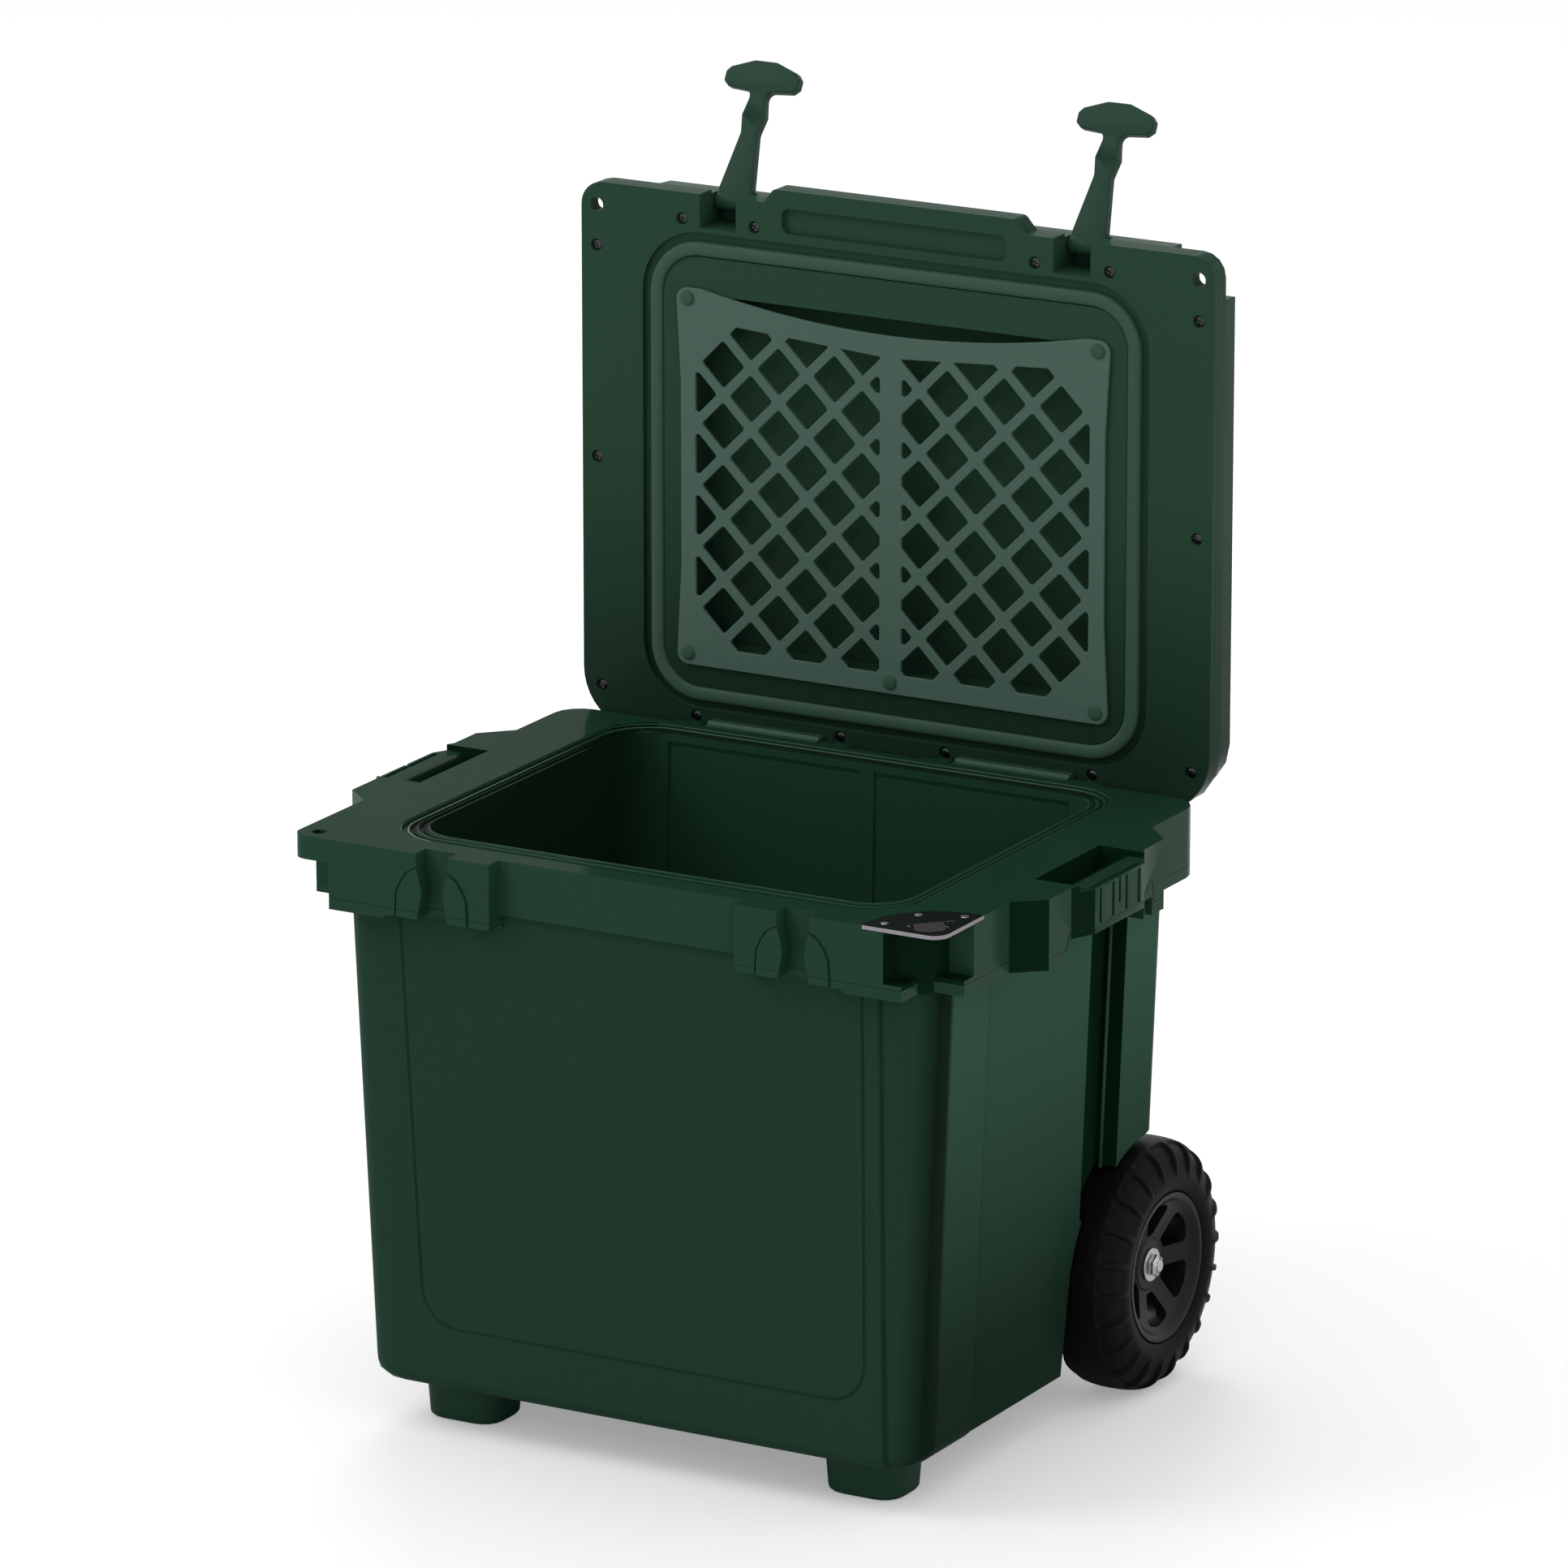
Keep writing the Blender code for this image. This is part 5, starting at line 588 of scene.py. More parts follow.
def turned(name, profile, place, steps=48, closed=False):
    """A solid turned about local z, through (radius, height) pairs."""
    loops = [[(r * cos(2 * pi * k / steps), r * sin(2 * pi * k / steps), z) for k in range(steps)]
             for r, z in profile]
    return solid(name, loops, place, closed)


def mirrored_pair(shapes):
    """Each outline and its mirror image across the middle."""
    return shapes + [[Vector((-p.x, p.y)) for p in reversed(shape)] for shape in shapes]


def filled(name, outlines, thick, edge, place):
    """A flat plate from a filled curve: the first outline is its edge, and the rest are windows."""
    curve = bpy.data.curves.new(name, "CURVE")
    curve.dimensions = "2D"
    curve.fill_mode = "BOTH"
    curve.extrude = thick / 2 - edge
    curve.bevel_depth = edge
    curve.bevel_resolution = 2
    curve.offset = -edge
    for outline in outlines:
        spline = curve.splines.new("POLY")
        spline.points.add(len(outline) - 1)
        for point, p in zip(spline.points, outline):
            point.co = (p.x, p.y, 0, 1)
        spline.use_cyclic_u = True
    maker = in_scene(name + " curve", curve)
    mesh = final_mesh(maker)
    bpy.data.objects.remove(maker)
    mesh.transform(place)
    piece = in_scene(name, mesh)
    crisp(piece, 40)
    return piece


# %% [markdown]
# Screws, buttons and the like repeat. Each could be placed by a loop, but Geometry Nodes does it
# with one unit and one tree: the places are points that carry their turn as an attribute, and a
# seed gives each screw its own twist, as a fitter would leave it.

# %% Geometry Nodes: one unit at many places
def copies(name, unit, places, finish, twist=0.0, seed=3):
    mesh = bpy.data.meshes.new(name)
    mesh.from_pydata([tuple(place.translation) for place in places], [], [])
    turn = mesh.attributes.new("turn", "FLOAT_VECTOR", "POINT")
    for k, place in enumerate(places):
        turn.data[k].vector = place.to_euler()
    piece = in_scene(name, mesh)
    tree = bpy.data.node_groups.new(name + " maker", "GeometryNodeTree")
    tree.interface.new_socket("Geometry", in_out="OUTPUT", socket_type="NodeSocketGeometry")
    tree.interface.new_socket("Geometry", in_out="INPUT", socket_type="NodeSocketGeometry")
    sockets = {word: tree.interface.new_socket(word, in_out="INPUT", socket_type=kind)
               for word, kind in (("Unit", "NodeSocketObject"), ("Twist", "NodeSocketFloat"),
                                  ("Seed", "NodeSocketInt"), ("Finish", "NodeSocketMaterial"))}
    given = tree.nodes.new("NodeGroupInput")
    final = tree.nodes.new("NodeGroupOutput")
    info = tree.nodes.new("GeometryNodeObjectInfo")
    named = tree.nodes.new("GeometryNodeInputNamedAttribute")
    named.data_type = "FLOAT_VECTOR"
    named.inputs["Name"].default_value = "turn"
    spot = tree.nodes.new("GeometryNodeInstanceOnPoints")
    chance = tree.nodes.new("FunctionNodeRandomValue")
    angle = tree.nodes.new("ShaderNodeCombineXYZ")
    spin = tree.nodes.new("GeometryNodeRotateInstances")
    real = tree.nodes.new("GeometryNodeRealizeInstances")
    paint = tree.nodes.new("GeometryNodeSetMaterial")
    link(tree, given.outputs["Geometry"], spot.inputs["Points"])
    link(tree, given.outputs["Unit"], info.inputs["Object"])
    link(tree, info.outputs["Geometry"], spot.inputs["Instance"])
    link(tree, named.outputs["Attribute"], spot.inputs["Rotation"])
    link(tree, given.outputs["Twist"], chance.inputs[3])
    link(tree, given.outputs["Seed"], chance.inputs["Seed"])
    link(tree, chance.outputs[1], angle.inputs["Z"])
    link(tree, spot.outputs["Instances"], spin.inputs["Instances"])
    link(tree, angle.outputs["Vector"], spin.inputs["Rotation"])
    link(tree, spin.outputs["Instances"], real.inputs["Geometry"])
    link(tree, real.outputs["Geometry"], paint.inputs["Geometry"])
    link(tree, given.outputs["Finish"], paint.inputs["Material"])
    link(tree, paint.outputs["Geometry"], final.inputs["Geometry"])
    step = piece.modifiers.new("copies", "NODES")
    step.node_group = tree
    for word, value in (("Unit", unit), ("Twist", twist), ("Seed", seed), ("Finish", finish)):
        step[sockets[word].identifier] = value
    baked(piece)
    bpy.data.objects.remove(unit)
    return piece


# %% [markdown]
# The lid's inner face is drawn anew, because the sized model's has few corners. Its flange has
# two deep slots for the latches and a lip with a long finger recess. Inside runs a wide groove
# that holds the gasket, and behind the net lies a pocket. Fourteen screws sit in cupped
# recesses. All of this is cut with Boolean modifiers, as a milling cutter would do it.

# %% The lid's inner face
LID_EDGE = [(0.100, -0.2030, 0.005), (0.108, -0.1925, 0.003), (0.2625, -0.1925, 0.018),
            (0.2625, 0.2240, 0.045)]
SCREW_SPOTS = [(side * x, y) for x, y in (
    (0.1162, -0.1725), (0.1772, -0.1725), (0.25, -0.1445), (0.25, 0.0165), (0.247, 0.192),
    (0.166, 0.205), (0.044, 0.205)) for side in (1, -1)]
TIE_SPOTS = [(0.2495, -0.175), (-0.2495, -0.175)]
SLOT_HALF = 0.0152


def latch_slots(z0, z1):
    slots = []
    for side in (1, -1):
        left, right = side * LATCH_X - SLOT_HALF, side * LATCH_X + SLOT_HALF
        corners = [(left, -0.22, 0), (right, -0.22, 0), (right, -0.167, 0.001), (left, -0.167, 0.001)]
        slots.append(slab("slot", rounded(corners, 2), z0, z1, OPEN))
    return slots


def lid_face():
    low, high = LID_LOW, LID_LOW + 0.006
    face = slab("lid_face", both_sides(LID_EDGE), low, high, OPEN)
    tray = slab("tray", ring_box(0.167, -0.1195, 0.154, 0.0125), low + 0.001, low + 0.0245, OPEN)
    carve(face, [tray], "UNION")
    cutters = latch_slots(low - 0.01, high + 0.01)
    cutters += [slab("tie", disc(x, y, 0.0055), low - 0.01, high + 0.01, OPEN) for x, y in TIE_SPOTS]
    cutters += [slab("cup", disc(x, y, 0.0047, 20), low - 0.01, low + 0.0032, OPEN) for x, y in SCREW_SPOTS]
    cutters.append(slab("pocket", ring_box(0.1645, -0.117, 0.1515, 0.010), low - 0.01, low + 0.022, OPEN))
    cutters.append(ring_slab("groove", ring_box(0.2105, -0.1635, 0.1985, 0.048),
                             ring_box(0.1925, -0.1455, 0.1815, 0.030), low - 0.01, low + 0.0042, OPEN))
    cutters.append(slab("pull", ring_box(0.093, -0.1895, -0.1705, 0.0065), low - 0.01, low + 0.0048, OPEN))
    carve(face, cutters)
    return face


face = lid_face()
round_edges(face, 0.0009, 3, 35)
coat(face, lid_plastic)
coat_where(face, lid_rim, looks_up)
stand_for(face, "lid", "green_shell", "lid_inner_panel")

# %% [markdown]
# On the real lid two long knuckles turn on rods. Each is a flat leg with a barrel joined to it.
# The crown is the sized model's own shell with rounded edges, and only the tie-down holes are
# opened in it.

# %% The lid's hinge barrels and crown
KNUCKLE_IN, KNUCKLE_OUT, KNUCKLE_LONG, KNUCKLE_R = 0.0565, 0.1525, 0.096, 0.0065


def hinge_barrel(side, word):
    leg = slab("hinge_barrel_" + word,
               quad(side * KNUCKLE_IN, side * KNUCKLE_OUT, HINGE_Y - 0.004, HINGE_Y + 0.004),
               HINGE_Z, LID_LOW + 0.001, OPEN)
    axis = along_x(OPEN, side * KNUCKLE_IN, HINGE_Y, HINGE_Z)
    carve(leg, [turned("barrel", [(KNUCKLE_R, 0), (KNUCKLE_R, side * KNUCKLE_LONG)], axis, 28)], "UNION")
    round_edges(leg, 0.0008)
    coat(leg, lid_plastic)
    stand_for(leg, "lid", "green_shell")


SIDES = ((1, "right"), (-1, "left"))
for side, word in SIDES:
    hinge_barrel(side, word)
tie_openings = [slab("opening", disc(x, y, 0.0105), LID_LOW + 0.012, 0.56, OPEN) for x, y in TIE_SPOTS]
crown = finer("lid_crown", "lid_outer_shell", "lid", "green_shell", lid_plastic, 0.0016, 3, tie_openings)
coat_where(crown, lid_rim, looks_up)

# %% [markdown]
# The gasket is a soft bead that seals the lid, a little lighter than the plastic round it. A
# curve with a round bevel would make a tube, but the real one is flat at its foot and domed on
# top, so its section is drawn and led round the groove.

# %% Gasket
BEAD_HALF, BEAD_RISE, BEAD_STEPS = 0.0052, 0.0030, 8


def gasket_line(out):
    """The gasket's middle line, moved outwards."""
    return ring_box(0.1982 + out, -0.1512 - out, 0.1872 + out, 0.0357 + out, 14)


def gasket():
    foot, shoulder = LID_LOW + 0.0036, LID_LOW + 0.0008
    section = [(BEAD_HALF, foot)]
    for k in range(BEAD_STEPS + 1):
        angle = pi * k / BEAD_STEPS
        section.append((BEAD_HALF * cos(angle), shoulder - BEAD_RISE * abs(sin(angle)) ** 0.6))
    section.append((-BEAD_HALF, foot))
    loops = [[(p.x, p.y, z) for p in gasket_line(out)] for out, z in section]
    bead = solid("lid_bead", loops, OPEN, closed=True)
    crisp(bead, 50)
    coat(bead, gasket_rubber)
    stand_for(bead, "lid", "rubber_green", "lid_gasket")


gasket()

# %% [markdown]
# The net is one flat rubber sheet with diamond windows, held by five buttons. A wire lattice
# would give round strands, but the real ones are flat. So the windows are worked out as in the
# sized model, each clipped by the frame, and a filled curve with a bevel makes the sheet with
# soft edges in one step.

# %% Net and its buttons
def clipped(points, nx, ny, limit):
    kept = []
    for i, here in enumerate(points):
        last = points[i - 1]
        a = limit - (last.x * nx + last.y * ny)
        b = limit - (here.x * nx + here.y * ny)
        if (a < 0) != (b < 0):
            kept.append(last.lerp(here, a / (a - b)))
        if b >= 0:
            kept.append(here)
    return kept


def net_windows(pitch=0.0468, strand=0.0075, outer=0.164, inner=0.009, front=-0.0985, rear=0.150,
                middle=0.0031, bow=0.0105, corner=0.034, least=0.12):
    """The right half's diamonds. bow is how far the front edge falls back towards the sides,
    corner is cut off the outer corners, and windows under a share least of a diamond stay shut."""
    half = pitch / 2
    reach = half - strand / 2 ** 0.5
    windows = []
    for i in range(int((outer - inner) / half) + 2):
        for j in range(-14, 15):
            if (i + j) % 2:
                continue
            x, y = outer - i * half, middle + j * half
            shape = [Vector((x + reach * a, y + reach * b)) for a, b in ((1, 0), (0, 1), (-1, 0), (0, -1))]
            for nx, ny, limit in ((1, 0, outer), (-1, 0, -inner), (0, 1, rear),
                                  (-bow / outer, -1, -front - bow), (1, 1, outer + rear - corner),
                                  (1, -1, outer - front - corner)):
                shape = clipped(shape, nx, ny, limit)
            size = abs(sum(p.x * shape[k - 1].y - p.y * shape[k - 1].x for k, p in enumerate(shape))) / 2
            if len(shape) > 2 and size > reach * reach * least:
                tight = min((shape[k] - shape[k - 1]).length for k in range(len(shape)))
                windows.append(rounded([(p.x, p.y, min(0.0022, tight * 0.3)) for p in shape], 4))
    return windows


NET_THICK, NET_GAP = 0.0030, 0.0003


def net_sheet():
    arc = [(share * 0.16, -0.122 + 0.017 * (1 - share * share), 0)
           for share in [k / 12 - 1 for k in range(25)]]
    right = [(0.1805, -0.122, 0.009), (0.1765, -0.05, 0.08), (0.1765, 0.09, 0.08), (0.1805, 0.165, 0.009)]
    left = [(-x, y, r) for x, y, r in reversed(right)]
    edge = rounded(left[-1:] + arc + right + left[:-1], 8)
    place = OPEN @ Matrix.Translation((0, 0, LID_LOW - NET_GAP - NET_THICK / 2))
    sheet = filled("lid_net", [edge] + mirrored_pair(net_windows()), NET_THICK, 0.0007, place)
    coat(sheet, net_rubber)
    stand_for(sheet, "lid", "net_green", "lid_grille")


net_sheet()
BUTTON_SPOTS = [(-0.1705, -0.114), (0.1705, -0.114), (-0.1705, 0.156), (0.1705, 0.156), (0, 0.156)]
UNTURNED = Matrix.Identity(4)
FACE_DOWN = Matrix.Rotation(pi, 4, "X")


def on_open_lid(spots, z):
    """Places on the lid's inner face, facing down when the lid is shut."""
    return [OPEN @ Matrix.Translation((x, y, z)) @ FACE_DOWN for x, y in spots]


button = turned("button unit", [(0.0055, 0), (0.0055, 0.0009), (0.0051, 0.0016), (0.0043, 0.0020),
                                (0.0024, 0.0022)], UNTURNED, 32)
crisp(button, 50)
studs = copies("net_buttons", button, on_open_lid(BUTTON_SPOTS, LID_LOW - NET_GAP - NET_THICK), button_rubber)
stand_for(studs, "lid", "net_green", *["grille_button_%d" % k for k in range(1, 6)])

# %% [markdown]
# A screw is a turned head with a cross cut into it. Fourteen of them hold the lid together. All
# are copies of one, because they differ only in how far the fitter turned them.

# %% Lid screws
def screw_unit(r):
    profile = [(r, 0), (r, r * 0.22), (r * 0.92, r * 0.34), (r * 0.6, r * 0.46)]
    head = turned("screw unit", profile, UNTURNED, 28)
    carve(head, [slab("bar", quad(-w * r, w * r, -l * r, l * r), r * 0.12, r * 2, UNTURNED)
                 for w, l in ((0.14, 0.62), (0.62, 0.14))])
    crisp(head, 30)
    return head


FITTER_TWIST = 1.5      # radians
screws = copies("lid_screws", screw_unit(0.0036), on_open_lid(SCREW_SPOTS, LID_LOW + 0.0031), screw_steel,
                twist=FITTER_TWIST)
stand_for(screws, "lid", "dark_steel", *["lid_screw_%02d" % k for k in range(1, 15)])

# %% [markdown]
# Fine grooves and beads run over the tub, the collar and the liner. They could be bump in a
# material, but then the mesh itself would be bare, so thin bars are cut out of it instead.
# Large edges are rounded first, and the fine lines come after that, because a Bevel modifier is
# only as wide as the shortest edge allows.

# %% Helpers for fine lines and bars
def tube(name, points, r, out, place=SHUT, steps=8):
    """A round bar along a path of points in space; out points away from the path's plane."""
    loops = []
    for k, here in enumerate(points):
        along = (points[min(k + 1, len(points) - 1)] - points[max(k - 1, 0)]).normalized()
        side = along.cross(Vector(out)).normalized()
        other = along.cross(side)
        loops.append([tuple(here + (side * cos(2 * pi * i / steps) + other * sin(2 * pi * i / steps)) * r)
                      for i in range(steps)])
    return solid(name, loops, place)


def prism_y(name, outline, y0, y1, place=SHUT):
    """A bar with an (x, z) outline, drawn along y."""
    return solid(name, [[(p[0], y, p[1]) for p in outline] for y in (y0, y1)], place)


def prism_x(name, outline, x0, x1, place=SHUT):
    """A bar with a (y, z) outline, drawn along x."""
    return solid(name, [[(x, p[0], p[1]) for p in outline] for x in (x0, x1)], place)


def block(name, x0, x1, y0, y1, z0, z1, place=SHUT):
    return prism_y(name, [(x0, z0), (x1, z0), (x1, z1), (x0, z1)], y0, y1, place)


def twins(shapes):
    """Each outline of (x, z) points on both sides of the cooler."""
    return [[(side * x, z) for x, z in shape] for shape in shapes for side in (1, -1)]


def engrave(piece, cutters):
    """Cut fine lines after the edges are round, and keep their own edges crisp."""
    carve(piece, cutters)
    crisp(piece, 38)
    return even_shading(piece, True)


# %% [markdown]
# The tub is one moulded wall that draws in towards the floor. Its front carries a fine engraved
# outline, and each side a fine line and an upright channel with a rib. The sized model's own
# shell has all the large shapes, so it is rounded and engraved rather than drawn anew.

# %% Tub shell with its engraved outline
TUB_TOP, TUB_HEIGHT = 0.4385, 0.4025


def tub_half(z):
    """Half the tub's width at a height: it draws in by 16 mm towards the floor."""
    return 0.2425 - 0.016 * (TUB_TOP - z) / TUB_HEIGHT


def tub_front(z):
    """The front wall's place at a height: it draws in by 6 mm."""
    return -0.171 + 0.006 * (TUB_TOP - z) / TUB_HEIGHT


def front_outline():
    path = rounded([(-0.186, 0.41, 0), (-0.171, 0.085, 0.030), (0.1925, 0.085, 0.030), (0.1925, 0.41, 0)])
    return [Vector((p.x, tub_front(p.y), p.y)) for p in path]


def side_line(side, y, z0, z1, sunk=0.0):
    return [Vector((side * (tub_half(z) - sunk), y, z)) for z in (z0, (z0 + z1) / 2, z1)]


def in_channel(middle, normal):
    """The floor of the upright channel in each side, in front of the wheel, painted dark as shade."""
    return (abs(middle.x) > 0.19 and middle.z > 0.155 and 0.0995 < middle.y - SHIFT < 0.1395
            and abs(middle.x) < tub_half(middle.z) - 0.0082)


ribs = [tube("channel_rib_" + word, side_line(side, 0.1378, 0.181, 0.40, 0.0125), 0.0015, (1, 0, 0))
        for side, word in SIDES]
tub = finer("tub_shell", "outer_shell", "cooler_body", "green_shell", shell_plastic, 0.0022)
engrave(tub, [tube("outline", front_outline(), 0.0014, (0, 1, 0))]
        + [tube("line", side_line(side, -0.0695, 0.05, 0.41), 0.0005, (1, 0, 0)) for side in (1, -1)])
coat_where(tub, painted_shade_plastic, in_channel)
for rib in ribs:
    rib.data.shade_smooth()
    # The ribs take the lighter finish as a painted highlight along the channel.
    coat(rib, highlight_plastic)
    stand_for(rib, "cooler_body", "green_shell")

# %% [markdown]
# The collar is the busiest piece. Round the mouth run fine steps, beside each latch lies a
# curved cut, the grips have a rounded bar and an outer pad with slits, and the seam with the
# trim below climbs over each grip. All of it is cut from the sized model's own collar, so that
# the piece keeps its place and its size.

# %% Collar
DECK, RIM_Z = 0.447, 0.444
CUTTER_OUT, CUTTER_TOP = 0.31, 0.46     # cutters reach this far, past the collar
PAD_SLITS, SLIT_HALF = (-0.0094, 0.0099, 0.0300, 0.0490), 0.0018
TWICE_LATCH_X = 0.2945      # what a crescent is mirrored about, to lie on the latch's other side


def mouth_line(share):
    """The mouth's outline at 0, and the edge of the ledge round it at 1."""
    return ring_box(0.196 + 0.012 * share, -0.133 - 0.019 * share, 0.184 + 0.0112 * share,
                    0.032 + 0.008 * share, 14)


def crescents():
    """The curved cuts beside each latch: wide ones on its right, narrow ones on its left."""
    outer = [(0.1600, 0.4372), (0.1690, 0.4320), (0.1737, 0.4251), (0.1775, 0.4170), (0.1784, 0.4041),
             (0.1784, 0.3900)]
    shapes = []
    for width, as_drawn in ((0.0030, 1), (0.0012, -1)):
        inner = [(x - width * 0.8, z - width * 0.5) for x, z in outer[:3]]
        inner += [(x - width, z) for x, z in outer[3:]]
        shape = outer + inner[::-1]
        for side in (1, -1):
            placed = shape if side == as_drawn else [(TWICE_LATCH_X - x, z) for x, z in shape]
            shapes.append([(side * x, z) for x, z in placed])
    return shapes


def low_steps():
    return twins([[(0.098, 0.385), (0.1935, 0.385), (0.1935, 0.3946), (0.1890, 0.3950), (0.1862, 0.3968),
                   (0.1835, 0.3978), (0.098, 0.3982)]])


def grip_bar_round(x=0.2775, z=0.4350, r=0.0075):
    """What a round bar leaves of its square corner, towards the finger slot."""
    arc = [(x - r * sin(pi / 2 * k / 6), z + r * cos(pi / 2 * k / 6)) for k in range(7)]
    return twins([[(0.2690, RIM_Z), (x, RIM_Z)] + arc + [(0.2690, z)]])


def block_rise():
    return [(-0.030, 0.385), (-0.0428, 0.385), (-0.0428, 0.3975), (-0.0418, 0.4030), (-0.0395, 0.4070),
            (-0.0362, 0.4090), (-0.030, 0.4094)]


def collar_cutters():
    made = [prism_y("crescent", shape, -0.1900, -0.1874) for shape in crescents()]
    made += [prism_y("step", shape, -0.2, -0.1722) for shape in low_steps()]
    made.append(block("strip foot", -0.0995, 0.0995, -0.2, -0.1690, 0.37, 0.4067))
    for side in (1, -1):
        made.append(prism_x("rise", block_rise(), side * 0.2450, side * CUTTER_OUT))
        made.append(block("notch", side * 0.2560, side * CUTTER_OUT, 0.0755, 0.0865, 0.385, 0.4085))
    return made


def pad_cutters():
    made = [prism_y("round", shape, -0.0300, 0.0680) for shape in grip_bar_round()]
    for side in (1, -1):
        for y in PAD_SLITS:
            made.append(block("slit", side * 0.2920, side * CUTTER_OUT, y - SLIT_HALF, y + SLIT_HALF,
                              0.4158, 0.4412))
        made.append(block("open slit", side * 0.2885, side * CUTTER_OUT, 0.0180, 0.0214, 0.4235, CUTTER_TOP))
        made.append(block("groove", side * 0.2893, side * 0.2930, -0.0165, 0.0555, 0.4330, CUTTER_TOP))
    return made


def pad_fillers():
    return [block("filler", side * 0.2915, side * 0.2954, -0.0175, 0.0565, 0.4150, 0.4405)
            for side in (1, -1)]


SIDE_FACE, PAD_FACE = 0.2865, 0.2955


def seam_over_grip(side):
    """The seam's points (y, z) on the side's face, or on the pad where it stands out."""
    path = [(-0.0480, 0.4033), (-0.0440, 0.4036), (-0.0425, 0.4060), (-0.0415, 0.4100), (-0.0395, 0.4135),
            (-0.0370, 0.4145), (-0.0180, 0.4145), (0.0570, 0.4145), (0.0740, 0.4145), (0.0780, 0.4155),
            (0.0800, 0.4195), (0.0830, 0.4213), (0.0868, 0.4195), (0.0882, 0.4130), (0.0892, 0.4050),
            (0.0925, 0.4033)]
    return [Vector((side * (PAD_FACE if -0.02 < y < 0.06 else SIDE_FACE), y, z)) for y, z in path]


def on_deck(middle, normal):
    return normal.z > 0.9 and middle.z > 0.44


def in_recess(middle, normal):
    """The finger slots in the grips, and the pocket under the corner plate, painted dark as shade."""
    y = middle.y - SHIFT
    in_grip = 0.252 < abs(middle.x) < 0.2772 and -0.0305 < y < 0.0685
    under_plate = 0.217 < middle.x < 0.2645 and -0.1885 < y < -0.1450 and middle.z > 0.3985
    return middle.z < 0.4445 and (in_grip or under_plate)


ledge_ring = ring_slab("ledge", mouth_line(1.25), mouth_line(0.9), RIM_Z, CUTTER_TOP, SHUT)
deck = finer("deck_collar", "top_collar", "cooler_body", "green_shell", green_plastic, 0.0009, 3,
             collar_cutters() + pad_cutters() + [ledge_ring], pad_fillers())
engrave(deck, [tube("seam", seam_over_grip(side), 0.0005, (1, 0, 0)) for side in (1, -1)])
coat_where(deck, painted_shade_plastic, looks_forward_right)
coat_where(deck, green_deck, on_deck)
coat_where(deck, painted_shade_plastic, in_recess)
trim = finer("trim_band", "collar_trim", "cooler_body", "green_shell", green_plastic, 0.0007, 3,
             collar_cutters())
coat_where(trim, painted_shade_plastic, looks_forward_right)

# %% [markdown]
# The liner is the tub's inside, with a ledge where the lid's gasket lands and fine steps in it.
# Its rear wall has two wide sunk panels with a rib between them, and a line just below the rim.
# The panels are cut before the edges are rounded, and the lines after it. The steps' edges
# catch the light in the photo, so thin beads lie along them.

# %% Liner
RIM_LINE_Z, PANEL_SUNK, LEDGE_WIDE, LINER_DEEP = 0.4345, 0.0014, 0.0145, 0.352


def liner_rear(z):
    """The rear wall's place at a height: it draws in by 7 mm."""
    return 0.184 - 0.007 * (RIM_Z - z) / LINER_DEEP


def rear_panel(side):
    x0, x1 = sorted((side * 0.0060, side * 0.168))
    loops = [[(p.x, p.y, z) for p in quad(x0, x1, liner_rear(z) - 0.01, liner_rear(z) + PANEL_SUNK)]
             for z in (0.13, 0.4378)]
    return solid("panel", loops, SHUT)


def on_ledge(middle, normal):
    return normal.z > 0.6 and middle.z > 0.44


liner = finer("tub_liner", "inner_liner", "cooler_body", "liner_green", green_inside, 0.0009, 3,
              [rear_panel(1), rear_panel(-1)])
rim_line = [Vector((x, liner_rear(RIM_LINE_Z) + PANEL_SUNK, RIM_LINE_Z)) for x in (-0.166, 0, 0.166)]
engrave(liner, [ring_slab("line", mouth_line(share + 0.14), mouth_line(share), 0.4428, CUTTER_TOP, SHUT)
                for share in (0.28, 0.70)] + [tube("rim line", rim_line, 0.0009, (0, 1, 0))])
coat_where(liner, green_ledge, on_ledge)


def mouth_beads(name, finish, places, steps=8):
    """Thin rounded beads along the mouth's steps, in a lighter finish as painted highlights: share of the
    ledge, top and radius of each.
    """
    beads = []
    for share, top, r in places:
        loops = []
        for k in range(steps):
            angle = 2 * pi * k / steps
            out, z = share + r * cos(angle) / LEDGE_WIDE, top - r + r * sin(angle)
            loops.append([(p.x, p.y, z) for p in mouth_line(out)])
        beads.append(solid(name, loops, SHUT, closed=True))
    first = carve(beads[0], beads[1:], "UNION")
    first.data.shade_smooth()
    coat(first, finish)
    stand_for(first, "cooler_body", "green_shell")


# The beads' lighter finish paints the highlight along each step, and on the ledge it takes painted shade at
# the left and rear.
mouth_beads("ledge_beads", ledge_highlight, ((0.07, 0.4446, 0.0007), (0.55, 0.4448, 0.0007)))
mouth_beads("mouth_beads", highlight_plastic, ((0.93, 0.4449, 0.0008), (1.235, 0.4462, 0.0005)))

# %% [markdown]
# Behind the mouth the lid's two knuckles show as long bars with two steps. Each is an outline
# seen from the side, drawn along x. The steps stay within nine millimetres of the hinge line,
# so that they clear the collar as they turn.

# %% Hinge bars
def hinge_bar(side, word):
    outline = [(0.2215, 0.4395), (0.2215, 0.4484), (0.2143, 0.4484), (0.2135, 0.4462), (0.2082, 0.4456),
               (0.2078, 0.4395)]
    bar = prism_x("hinge_bar_" + word, outline, side * 0.0572, side * 0.1518)
    round_edges(bar, 0.0006)
    # The bars take the lighter finish as a painted highlight.
    coat(bar, highlight_plastic)
    stand_for(bar, "lid", "green_shell")


for side, word in SIDES:
    hinge_bar(side, word)

